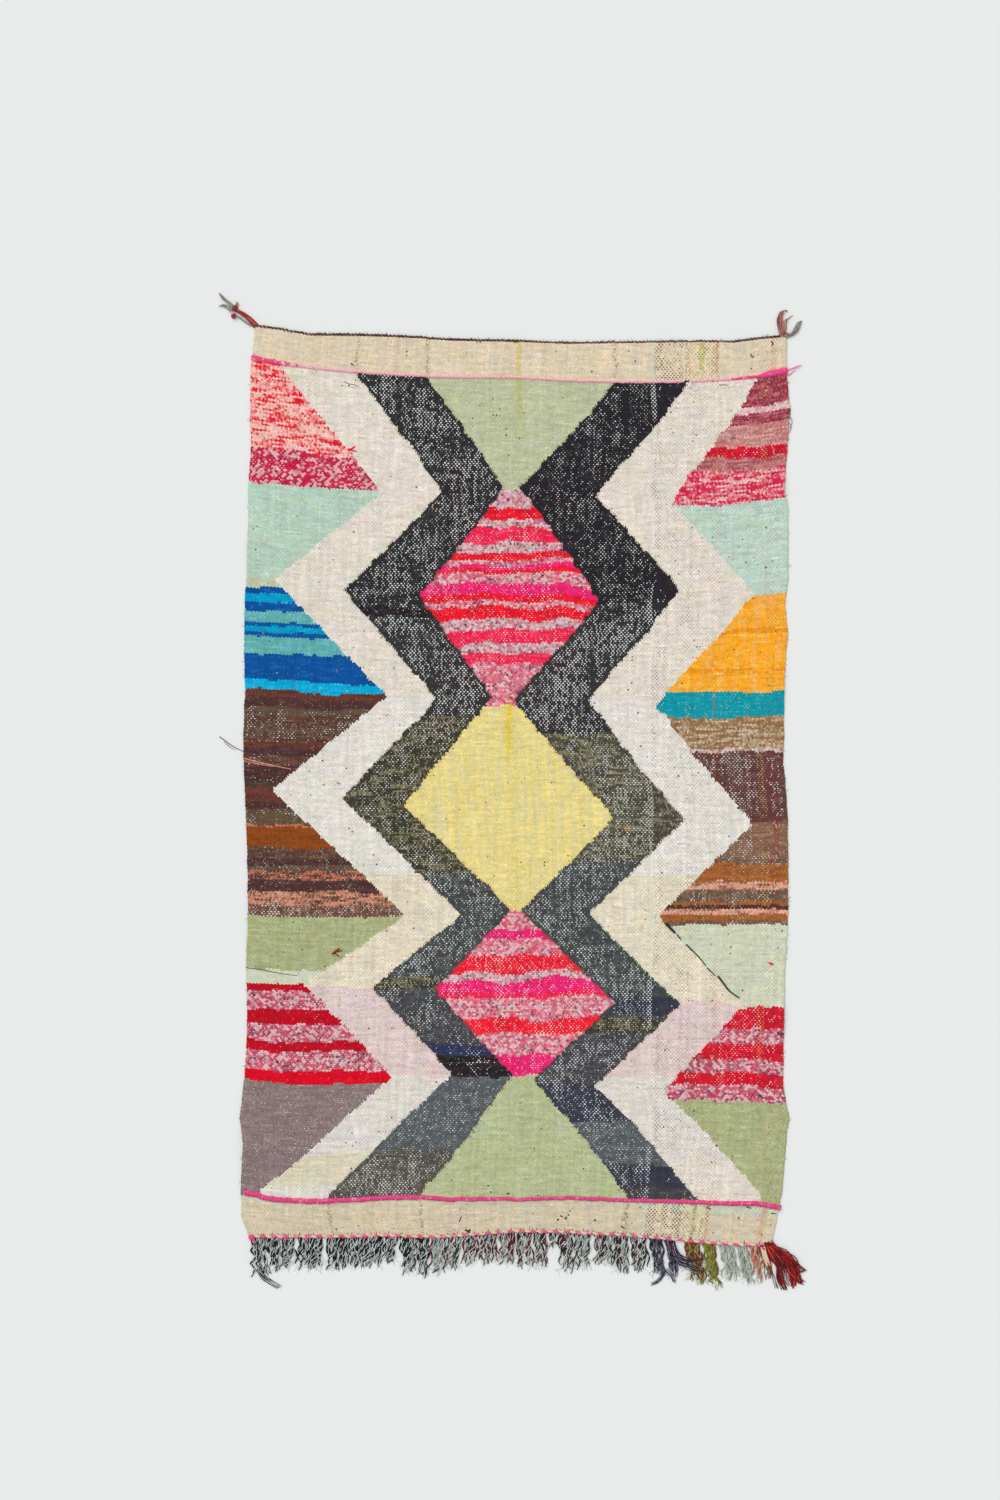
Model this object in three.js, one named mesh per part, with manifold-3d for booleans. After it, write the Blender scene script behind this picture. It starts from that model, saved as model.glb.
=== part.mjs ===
// A flat-woven boucherouite rug, laid out on the floor.
//
// Millimetres, +Z up, head end towards +Y. Every table below is measured on the rug itself:
// x from its lengthwise middle line, y from the middle of its length. The finished group is
// moved once, so that its origin is the middle of its whole footprint, at floor level.

import * as THREE from 'three';
import Module from 'manifold-3d';
import { mergeVertices } from 'three/addons/utils/BufferGeometryUtils.js';

const wasm = await Module();
wasm.setup();

// ---------------------------------------------------------------- driving dimensions

const CLOTH_THICKNESS = 4;
const GAP = 0.3; // kept between pieces that touch
const FOOTPRINT_MIDDLE = { x: -11.7, y: -20.7 };

// A twined line is woven across the cloth below the head band and above the foot band.
const TWINED_LINE = { width: 10, shoulder: 2, proud: 0.9 };

const HEAD_CORD = { radius: 3.2, waist: 0.72, lobe: 16, sides: 6, stop: 8.4 };
const BINDING = { width: 5, height: 4 }; // the strip that holds the fringe
const YARN = { width: 3, height: 2.7, pitch: 5, steps: 3, sunk: 2 };
const TASSEL_YARN = { width: 4, height: 3.4, steps: 4 };
const KNOT_SIDES = 8;
const KNOT_RINGS = 5;

// How far each selvedge lies from the middle line, by distance along the rug.
const SELVEDGES = [
  { along: 1102, left: 626, right: 650 },
  { along: 1060, left: 630, right: 650 },
  { along: 996, left: 640, right: 649 },
  { along: 900, left: 638, right: 658 },
  { along: 804, left: 636, right: 651 },
  { along: 708, left: 643, right: 643 },
  { along: 660, left: 642, right: 653 },
  { along: 492, left: 647, right: 653 },
  { along: 439, left: 651, right: 645 },
  { along: 365, left: 652, right: 653 },
  { along: 290, left: 652, right: 645 },
  { along: 228, left: 650, right: 643 },
  { along: 120, left: 654, right: 643 },
  { along: 60, left: 654, right: 641 },
  { along: -53, left: 649, right: 651 },
  { along: -156, left: 645, right: 653 },
  { along: -324, left: 643, right: 653 },
  { along: -432, left: 648, right: 646 },
  { along: -540, left: 645, right: 643 },
  { along: -636, left: 647, right: 642 },
  { along: -722, left: 654, right: 641 },
  { along: -797, left: 663, right: 655 },
  { along: -859, left: 655, right: 648 },
  { along: -977, left: 661, right: 638 },
  { along: -1037, left: 658, right: 627 },
  { along: -1082, left: 642, right: 617 },
  { along: -1107, left: 640, right: 615 },
];

// Where the four main weft courses run. across goes from -1, left selvedge, to 1, right.
const COURSES = [
  { across: -1, headEdge: 1101, headLine: 1027, footLine: -982, footEdge: -1083 },
  { across: -0.89, headEdge: 1092, headLine: 1013, footLine: -992, footEdge: -1083 },
  { across: -0.77, headEdge: 1078, headLine: 1002, footLine: -997, footEdge: -1083 },
  { across: -0.63, headEdge: 1078, headLine: 993, footLine: -994, footEdge: -1083 },
  { across: -0.475, headEdge: 1075, headLine: 986, footLine: -988, footEdge: -1080 },
  { across: -0.375, headEdge: 1072, headLine: 983, footLine: -988, footEdge: -1083 },
  { across: -0.26, headEdge: 1066, headLine: 979, footLine: -995, footEdge: -1083 },
  { across: 0, headEdge: 1063, headLine: 978, footLine: -993, footEdge: -1070 },
  { across: 0.18, headEdge: 1058, headLine: 971, footLine: -990, footEdge: -1072 },
  { across: 0.42, headEdge: 1060, headLine: 967, footLine: -996, footEdge: -1080 },
  { across: 0.615, headEdge: 1062, headLine: 968, footLine: -999, footEdge: -1091 },
  { across: 0.735, headEdge: 1062, headLine: 971, footLine: -1002, footEdge: -1099 },
  { across: 0.81, headEdge: 1061, headLine: 974, footLine: -1004, footEdge: -1102 },
  { across: 0.9, headEdge: 1069, headLine: 980, footLine: -1003, footEdge: -1104 },
  { across: 1, headEdge: 1075, headLine: 993, footLine: -1013, footEdge: -1106 },
];

// Soft ridges where the cloth stands off the floor: the memory of the lengthwise fold,
// and shallow ripples that run in from the selvedges.
const CREASES = [
  { fromX: 2, fromY: 990, fromRise: 0, toX: 0, toY: 700, toRise: 2.6, halfWidth: 24 },
  { fromX: 0, fromY: 700, fromRise: 2.6, toX: -12, toY: 130, toRise: 2.2, halfWidth: 24 },
  { fromX: -12, fromY: 130, fromRise: 2.2, toX: -12, toY: -300, toRise: 3, halfWidth: 24 },
  { fromX: -12, fromY: -300, fromRise: 3, toX: 4, toY: -960, toRise: 0, halfWidth: 24 },
  { fromX: 690, fromY: 706, fromRise: 5, toX: 330, toY: 690, toRise: 0, halfWidth: 70 },
  { fromX: 690, fromY: 236, fromRise: 4, toX: 400, toY: 262, toRise: 0, halfWidth: 70 },
  { fromX: 690, fromY: -560, fromRise: 5, toX: 380, toY: -520, toRise: 0, halfWidth: 75 },
  { fromX: -690, fromY: 560, fromRise: 4, toX: -420, toY: 575, toRise: 0, halfWidth: 70 },
  { fromX: -690, fromY: -330, fromRise: 4.5, toX: -360, toY: -300, toRise: 0, halfWidth: 75 },
  { fromX: -690, fromY: -870, fromRise: 5, toX: -430, toY: -850, toRise: 0, halfWidth: 70 },
];

// The cloth's mesh: columns crowd at the fold, rows at the twined lines.
const FOLD_ZONE = 0.055;
const SIDE_COLUMNS = 11;
const FOLD_COLUMNS = 6;
const BAND_ROWS = 2;
const FIELD_ROWS = 30;

// The fringe, one row for each lock: where its yarns leave the foot edge, how far its tip
// leans and how long it is. A lock's tip is narrower than its root by the taper.
const LOCK_TAPER = 0.72;
const LOCKS = [
  { warp: 'slate', from: -638, to: -604, lean: 12, length: 108 },
  { warp: 'slate', from: -601, to: -569, lean: 7, length: 88 },
  { warp: 'slate', from: -565, to: -533, lean: 2, length: 86 },
  { warp: 'slate', from: -523, to: -497, lean: 4, length: 85 },
  { warp: 'slate', from: -492, to: -466, lean: 0, length: 88 },
  { warp: 'slate', from: -454, to: -411, lean: 2, length: 84 },
  { warp: 'slate', from: -407, to: -365, lean: -4, length: 80 },
  { warp: 'slate', from: -361, to: -318, lean: -10, length: 80 },
  { warp: 'slate', from: -313, to: -284, lean: -6, length: 70 },
  { warp: 'slate', from: -279, to: -245, lean: 0, length: 98 },
  { warp: 'slate', from: -241, to: -209, lean: 2, length: 102 },
  { warp: 'maroon', from: -203, to: -167, lean: -4, length: 94 },
  { warp: 'maroon', from: -163, to: -131, lean: -6, length: 86 },
  { warp: 'maroon', from: -127, to: -92, lean: -2, length: 72 },
  { warp: 'maroon', from: -88, to: -47, lean: 1, length: 76 },
  { warp: 'maroon', from: -43, to: -4, lean: 3, length: 80 },
  { warp: 'maroon', from: 1, to: 37, lean: 4, length: 98 },
  { warp: 'maroon', from: 41, to: 72, lean: 2, length: 96 },
  { warp: 'maroon', from: 81, to: 95, lean: -2, length: 40 },
  { warp: 'maroon', from: 101, to: 134, lean: 3, length: 104 },
  { warp: 'maroon', from: 139, to: 178, lean: 1, length: 92 },
  { warp: 'maroon', from: 187, to: 223, lean: 2, length: 78 },
  { warp: 'maroon', from: 228, to: 268, lean: 3, length: 96 },
  { warp: 'maroon', from: 273, to: 312, lean: 4, length: 90 },
  { warp: 'navy', from: 320, to: 350, lean: 10, length: 104 },
  { warp: 'navy', from: 355, to: 380, lean: 16, length: 92 },
  { warp: 'olive', from: 404, to: 441, lean: 12, length: 108 },
  { warp: 'olive', from: 446, to: 476, lean: 17, length: 112 },
  { warp: 'mint', from: 486, to: 522, lean: 15, length: 90 },
  { warp: 'mint', from: 529, to: 553, lean: 16, length: 98 },
  { warp: 'rust', from: 560, to: 581, lean: 12, length: 94 },
];
const LOCK_SWAY = { size: 2.4, turns: 1.1, lag: 0.013 };
const LOCK_RAGGED = { first: 6, second: 4 }; // how uneven the yarns of one lock end

const WARPS = {
  slate: { from: -642, to: -206, color: 0x6f807a },
  maroon: { from: -205.7, to: 315, color: 0x84706f },
  navy: { from: 315.3, to: 392, color: 0x4a4763 },
  olive: { from: 392.3, to: 480, color: 0x7b7040 },
  mint: { from: 480.3, to: 556, color: 0x9aa596 },
  rust: { from: 556.3, to: 590, color: 0x9d6145 },
};

// Corner tassels. Each yarn runs from the knot through one point to its tip.
const HEAD_LEFT_KNOT = { x: -676, y: 1136, long: 14, wide: 7.5, high: 5, turn: 1.0 };
const HEAD_LEFT_YARNS = [
  { viaX: -652, viaY: 1128, tipX: -627.6, tipY: 1105.6 },
  { viaX: -653, viaY: 1136, tipX: -628, tipY: 1115 },
  { viaX: -690, viaY: 1158, tipX: -711, tipY: 1177 },
  { viaX: -690, viaY: 1147, tipX: -706, tipY: 1160 },
  { viaX: -692, viaY: 1139, tipX: -712, tipY: 1150 },
];
const HEAD_RIGHT_KNOT = { x: 643, y: 1082, long: 9, wide: 6.5, high: 4.5, turn: 0.3 };
const HEAD_RIGHT_YARNS = [
  { viaX: 634, viaY: 1112, tipX: 636, tipY: 1137 },
  { viaX: 641, viaY: 1110, tipX: 643, tipY: 1134 },
  { viaX: 650, viaY: 1106, tipX: 655, tipY: 1121 },
  { viaX: 665, viaY: 1086, tipX: 680, tipY: 1110 },
  { viaX: 662, viaY: 1078, tipX: 688, tipY: 1108 },
];
const FOOT_RIGHT_KNOT = { x: 604, y: -1115, long: 11, wide: 7, high: 5, turn: -0.9 };
const FOOT_RIGHT_YARNS = [
  { viaX: 605, viaY: -1148, tipX: 612, tipY: -1184 },
  { viaX: 612, viaY: -1150, tipX: 622, tipY: -1205 },
  { viaX: 620, viaY: -1152, tipX: 634, tipY: -1200 },
  { viaX: 625, viaY: -1147, tipX: 645, tipY: -1209 },
  { viaX: 631, viaY: -1146, tipX: 656, tipY: -1200 },
  { viaX: 634, viaY: -1140, tipX: 667, tipY: -1198 },
  { viaX: 637, viaY: -1135, tipX: 680, tipY: -1196 },
  { viaX: 636, viaY: -1129, tipX: 687, tipY: -1183 },
  { viaX: 634, viaY: -1123, tipX: 684, tipY: -1165 },
];

// ---------------------------------------------------------------- reading the tables

/** The value of one column of a table, straight between its rows. */
function fromTable(table, keyColumn, at, column) {
  const rising = table[table.length - 1][keyColumn] > table[0][keyColumn];
  const rows = rising ? table : [...table].reverse();
  const last = rows.length - 1;
  if (at <= rows[0][keyColumn]) return rows[0][column];
  if (at >= rows[last][keyColumn]) return rows[last][column];
  const next = rows.findIndex((row) => row[keyColumn] > at);
  const low = rows[next - 1];
  const high = rows[next];
  const share = (at - low[keyColumn]) / (high[keyColumn] - low[keyColumn]);
  return THREE.MathUtils.lerp(low[column], high[column], share);
}

/** How far the cloth stands off the floor at one place. */
function liftAt(x, y) {
  let lift = 0;
  for (const crease of CREASES) {
    const runX = crease.toX - crease.fromX;
    const runY = crease.toY - crease.fromY;
    const along = (x - crease.fromX) * runX + (y - crease.fromY) * runY;
    const share = THREE.MathUtils.clamp(along / (runX * runX + runY * runY), 0, 1);
    const away = Math.hypot(x - crease.fromX - share * runX, y - crease.fromY - share * runY);
    if (away >= crease.halfWidth) continue;
    const rise = THREE.MathUtils.lerp(crease.fromRise, crease.toRise, share);
    const ridge = 0.5 + 0.5 * Math.cos((Math.PI * away) / crease.halfWidth);
    lift = Math.max(lift, rise * ridge);
  }
  return lift;
}

/** Places from one mark to the next, spans being rows of { from, to, steps }. */
function marks(spans) {
  const places = [spans[0].from];
  for (const { from, to, steps } of spans) {
    for (let i = 1; i <= steps; i += 1) {
      places.push(THREE.MathUtils.lerp(from, to, i / steps));
    }
  }
  return places;
}

// ---------------------------------------------------------------- the cloth

const columns = marks([
  { from: -1, to: -FOLD_ZONE, steps: SIDE_COLUMNS },
  { from: -FOLD_ZONE, to: FOLD_ZONE, steps: FOLD_COLUMNS },
  { from: FOLD_ZONE, to: 1, steps: SIDE_COLUMNS },
]);

/** A course between two of the main ones: a share of the way, moved up or down by an offset. */
function courseRows() {
  const rows = [];
  const spread = (from, to, steps) => {
    for (let i = 1; i < steps; i += 1) rows.push({ from, to, share: i / steps, offset: 0, proud: 0 });
  };
  const twined = (line) => {
    const half = TWINED_LINE.width / 2;
    const inner = half - TWINED_LINE.shoulder;
    rows.push({ from: line, to: line, share: 0, offset: half, proud: 0 });
    rows.push({ from: line, to: line, share: 0, offset: inner, proud: TWINED_LINE.proud });
    rows.push({ from: line, to: line, share: 0, offset: -inner, proud: TWINED_LINE.proud });
    rows.push({ from: line, to: line, share: 0, offset: -half, proud: 0 });
  };
  rows.push({ from: 'headEdge', to: 'headEdge', share: 0, offset: 0, proud: 0 });
  spread('headEdge', 'headLine', BAND_ROWS + 1);
  twined('headLine');
  spread('headLine', 'footLine', FIELD_ROWS + 1);
  twined('footLine');
  spread('footLine', 'footEdge', BAND_ROWS + 1);
  rows.push({ from: 'footEdge', to: 'footEdge', share: 0, offset: 0, proud: 0 });
  return rows;
}

const rows = courseRows();

/** Where a course crosses a column, on the floor. */
function clothPoint(across, row) {
  const from = fromTable(COURSES, 'across', across, row.from);
  const to = fromTable(COURSES, 'across', across, row.to);
  const y = THREE.MathUtils.lerp(from, to, row.share) + row.offset;
  const left = -fromTable(SELVEDGES, 'along', y, 'left');
  const right = fromTable(SELVEDGES, 'along', y, 'right');
  const x = THREE.MathUtils.lerp(left, right, (across + 1) / 2);
  return { x, y };
}

function clothGeometry() {
  const box = new THREE.BoxGeometry(2, 2, 2, columns.length - 1, rows.length - 1, 1);
  box.deleteAttribute('normal');
  box.deleteAttribute('uv');
  const cloth = mergeVertices(box);
  const places = cloth.attributes.position;
  for (let i = 0; i < places.count; i += 1) {
    const column = Math.round(((places.getX(i) + 1) / 2) * (columns.length - 1));
    const row = rows[Math.round(((1 - places.getY(i)) / 2) * (rows.length - 1))];
    const { x, y } = clothPoint(columns[column], row);
    const top = places.getZ(i) > 0 ? CLOTH_THICKNESS + row.proud : 0;
    places.setXYZ(i, x, y, liftAt(x, y) + top);
  }
  return cloth;
}

/** The cloth's head or foot edge, from the left selvedge to the right. */
function edgeLine(row) {
  return columns.map((across) => clothPoint(across, row));
}

const headEdge = edgeLine(rows[0]);
const footEdge = edgeLine(rows[rows.length - 1]);

function edgeHeight(edge, x) {
  return fromTable(edge, 'x', x, 'y');
}

// ---------------------------------------------------------------- solids and yarns

function toSolid(geometry) {
  const bare = geometry.clone();
  bare.deleteAttribute('normal');
  bare.deleteAttribute('uv');
  const merged = mergeVertices(bare, 1e-4);
  const vertProperties = new Float32Array(merged.attributes.position.array);
  const triVerts = new Uint32Array(merged.index.array);
  return new wasm.Manifold(new wasm.Mesh({ numProp: 3, vertProperties, triVerts }));
}

function fromSolid(solid) {
  const mesh = solid.getMesh();
  const geometry = new THREE.BufferGeometry();
  const places = new THREE.BufferAttribute(new Float32Array(mesh.vertProperties), 3);
  geometry.setAttribute('position', places);
  geometry.setIndex(new THREE.BufferAttribute(new Uint32Array(mesh.triVerts), 1));
  return geometry;
}

function joined(geometries) {
  return fromSolid(geometries.map(toSolid).reduce((whole, next) => whole.add(next)));
}

/** A yarn that lies on the floor through the points, flat below and ridged above. */
function yarn(points, size, steps) {
  const section = new THREE.Shape();
  section.moveTo(0, -size.width / 2);
  section.lineTo(0, size.width / 2);
  section.lineTo(-size.height, 0);
  section.closePath();
  const route = new THREE.CatmullRomCurve3(points.map(({ x, y }) => new THREE.Vector3(x, y, 0)));
  return new THREE.ExtrudeGeometry(section, { steps, extrudePath: route, bevelEnabled: false });
}

/** A pulled knot that rests on the floor. */
function knot({ x, y, long, wide, high, turn }) {
  const ball = new THREE.SphereGeometry(1, KNOT_SIDES, KNOT_RINGS);
  ball.rotateX(Math.PI / 2);
  ball.scale(long, wide, high);
  ball.rotateZ(turn);
  ball.translate(x, y, high);
  return ball;
}

function tasselGeometry(head, yarns) {
  const strands = yarns.map(({ viaX, viaY, tipX, tipY }) => yarn(
    [{ x: head.x, y: head.y }, { x: viaX, y: viaY }, { x: tipX, y: tipY }],
    TASSEL_YARN,
    TASSEL_YARN.steps,
  ));
  return joined([knot(head), ...strands]);
}

// ---------------------------------------------------------------- the head cord

/** A cord with a lobe for each turn of its twist, laid along the head edge. */
function headCordGeometry() {
  const start = headEdge[0];
  const end = HEAD_RIGHT_KNOT.x - HEAD_CORD.stop;
  const length = end - start.x;
  const lobes = Math.round(length / HEAD_CORD.lobe);
  const waist = HEAD_CORD.radius * HEAD_CORD.waist;
  const profile = [new THREE.Vector2(0, length), new THREE.Vector2(waist, length)];
  for (let i = lobes - 1; i >= 0; i -= 1) {
    profile.push(new THREE.Vector2(HEAD_CORD.radius, (length * (i + 0.5)) / lobes));
    profile.push(new THREE.Vector2(waist, (length * i) / lobes));
  }
  profile.push(new THREE.Vector2(0, 0));
  const flatBelow = Math.PI / HEAD_CORD.sides;
  const lathe = new THREE.LatheGeometry(profile, HEAD_CORD.sides, flatBelow);
  lathe.deleteAttribute('normal');
  lathe.deleteAttribute('uv');
  const cord = mergeVertices(lathe, 1e-3);
  const places = cord.attributes.position;
  const axisHeight = HEAD_CORD.radius * Math.cos(flatBelow);
  for (let i = 0; i < places.count; i += 1) {
    const x = start.x + places.getY(i);
    const y = edgeHeight(headEdge, x) + GAP + HEAD_CORD.radius + places.getX(i);
    places.setXYZ(i, x, y, axisHeight + places.getZ(i));
  }
  return cord;
}

// ---------------------------------------------------------------- the fringe

/** The strip of binding below the foot edge, between two places across the rug. */
function bindingGeometry(from, to) {
  const inner = footEdge.map(({ x }) => x).filter((x) => x > from && x < to);
  const stops = [from, ...inner, to];
  const outline = new THREE.Shape();
  const upper = stops.map((x) => new THREE.Vector2(x, edgeHeight(footEdge, x) - GAP));
  const lower = upper.map(({ x, y }) => new THREE.Vector2(x, y - BINDING.width)).reverse();
  outline.setFromPoints([...upper, ...lower]);
  return new THREE.ExtrudeGeometry(outline, { depth: BINDING.height, bevelEnabled: false });
}

function lockGeometries(lock) {
  const middle = (lock.from + lock.to) / 2;
  const width = lock.to - lock.from;
  const count = Math.floor(width / YARN.pitch);
  const strands = [];
  for (let i = 0; i < count; i += 1) {
    const aside = ((i + 0.5) / count - 0.5) * width;
    const rootX = middle + aside;
    const rootY = edgeHeight(footEdge, rootX) - GAP - BINDING.width + YARN.sunk;
    const ragged = LOCK_RAGGED.first * Math.sin(2.4 * rootX) + LOCK_RAGGED.second * Math.sin(5.1 * i);
    const length = lock.length + ragged;
    const points = marks([{ from: 0, to: length, steps: YARN.steps + 1 }]).map((down) => {
      const share = down / lock.length;
      const phase = 2 * Math.PI * (LOCK_SWAY.turns * share + LOCK_SWAY.lag * middle);
      const sway = LOCK_SWAY.size * share * Math.sin(phase);
      const narrowed = aside * THREE.MathUtils.lerp(1, LOCK_TAPER, share);
      return { x: middle + narrowed + lock.lean * share + sway, y: rootY - down };
    });
    strands.push(yarn(points, YARN, YARN.steps));
  }
  return strands;
}

function fringeGeometry(name) {
  const { from, to } = WARPS[name];
  const locks = LOCKS.filter(({ warp }) => warp === name);
  return joined([bindingGeometry(from, to), ...locks.flatMap(lockGeometries)]);
}

// ---------------------------------------------------------------- the rug

const rug = new THREE.Group();
rug.position.set(-FOOTPRINT_MIDDLE.x, -FOOTPRINT_MIDDLE.y, 0);

function addPiece(name, geometry, color, roughness) {
  geometry.computeVertexNormals();
  const material = new THREE.MeshStandardMaterial({ color, roughness, metalness: 0 });
  const piece = new THREE.Mesh(geometry, material);
  piece.name = name;
  rug.add(piece);
}

addPiece('cloth', clothGeometry(), 0xcfc6b8, 0.92);
addPiece('head_cord', headCordGeometry(), 0x5b3531, 0.88);
addPiece('head_tassel_left', tasselGeometry(HEAD_LEFT_KNOT, HEAD_LEFT_YARNS), 0x7b4038, 0.88);
addPiece('head_tassel_right', tasselGeometry(HEAD_RIGHT_KNOT, HEAD_RIGHT_YARNS), 0x7a4a44, 0.88);
for (const name of Object.keys(WARPS)) {
  addPiece(`fringe_${name}`, fringeGeometry(name), WARPS[name].color, 0.9);
}
addPiece('foot_tassel_right', tasselGeometry(FOOT_RIGHT_KNOT, FOOT_RIGHT_YARNS), 0xa83422, 0.88);

export default rug;
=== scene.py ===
"""A flat-woven boucherouite rug, laid out on a pale floor.

The frame gives the rug's solids in metres. Everything woven, twined or knotted is made here
around them. Tables are in millimetres on the rug: x from its lengthwise middle line and y from
the middle of its length, head end up.
"""

import math
import random

import bmesh
import bpy
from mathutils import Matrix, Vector, noise


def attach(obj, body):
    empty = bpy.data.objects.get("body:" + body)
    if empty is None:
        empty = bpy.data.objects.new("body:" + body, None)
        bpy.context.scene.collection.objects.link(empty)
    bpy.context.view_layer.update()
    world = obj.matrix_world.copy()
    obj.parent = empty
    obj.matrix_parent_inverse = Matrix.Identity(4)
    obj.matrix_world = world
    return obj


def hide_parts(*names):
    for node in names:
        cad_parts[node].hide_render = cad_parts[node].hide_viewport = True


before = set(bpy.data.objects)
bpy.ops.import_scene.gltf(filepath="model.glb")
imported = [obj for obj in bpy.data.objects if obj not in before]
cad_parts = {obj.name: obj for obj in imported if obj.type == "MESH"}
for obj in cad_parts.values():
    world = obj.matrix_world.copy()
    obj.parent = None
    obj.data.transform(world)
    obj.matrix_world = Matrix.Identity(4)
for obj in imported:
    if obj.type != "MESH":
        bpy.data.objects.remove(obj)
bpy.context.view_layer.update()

# ------------------------------------------------------------------ sizes, in millimetres

MM = 0.001
FRAME_SHIFT = (11.7, 20.7)  # from the rug's own middle lines to the frame's origin

CLOTH_THICKNESS = 4.0
HALF_WIDTH = 645.0
HEAD_EDGE, HEAD_LINE = 1065.0, 978.0
FOOT_LINE, FOOT_EDGE = -993.0, -1082.0
WARP_SPACING, PICK_HEIGHT = 4.3, 4.6

SELVEDGES = [  # along, left, right
    (1102, 626, 650), (1060, 630, 650), (996, 637, 649), (900, 638, 658), (804, 636, 651),
    (708, 643, 643), (660, 642, 653), (492, 647, 653), (439, 651, 645), (365, 652, 653),
    (290, 652, 645), (228, 650, 643), (120, 654, 643), (60, 654, 641), (-53, 649, 651),
    (-156, 645, 653), (-324, 643, 653), (-432, 648, 646), (-540, 645, 643), (-636, 647, 642),
    (-722, 654, 641), (-797, 663, 655), (-859, 655, 648), (-977, 661, 638), (-1037, 658, 627),
    (-1082, 642, 617), (-1107, 640, 615),
]
COURSES = [  # across, head edge, head line, foot line, foot edge
    (-1, 1101, 1027, -982, -1083), (-0.89, 1092, 1013, -992, -1083),
    (-0.77, 1078, 1002, -997, -1083), (-0.63, 1078, 993, -994, -1083),
    (-0.475, 1075, 986, -988, -1080), (-0.375, 1072, 983, -988, -1083),
    (-0.26, 1066, 979, -995, -1083), (0, 1063, 978, -993, -1070),
    (0.18, 1058, 971, -990, -1072), (0.42, 1060, 967, -996, -1080),
    (0.615, 1062, 968, -999, -1091), (0.735, 1062, 971, -1002, -1099),
    (0.81, 1061, 974, -1004, -1102), (0.9, 1069, 980, -1003, -1104),
    (1, 1075, 993, -1013, -1106),
]
CREASES = [  # from x, y, rise, to x, y, rise, half width
    (2, 990, 0, 0, 700, 2.6, 24), (0, 700, 2.6, -12, 130, 2.2, 24),
    (-12, 130, 2.2, -12, -300, 3, 24), (-12, -300, 3, 4, -960, 0, 24),
    (690, 706, 5, 330, 690, 0, 70), (690, 236, 4, 400, 262, 0, 70),
    (690, -560, 5, 380, -520, 0, 75), (-690, 560, 4, -420, 575, 0, 70),
    (-690, -330, 4.5, -360, -300, 0, 75), (-690, -870, 5, -430, -850, 0, 70),
]

# ------------------------------------------------------------------ yarns, colours as 0-255

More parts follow.
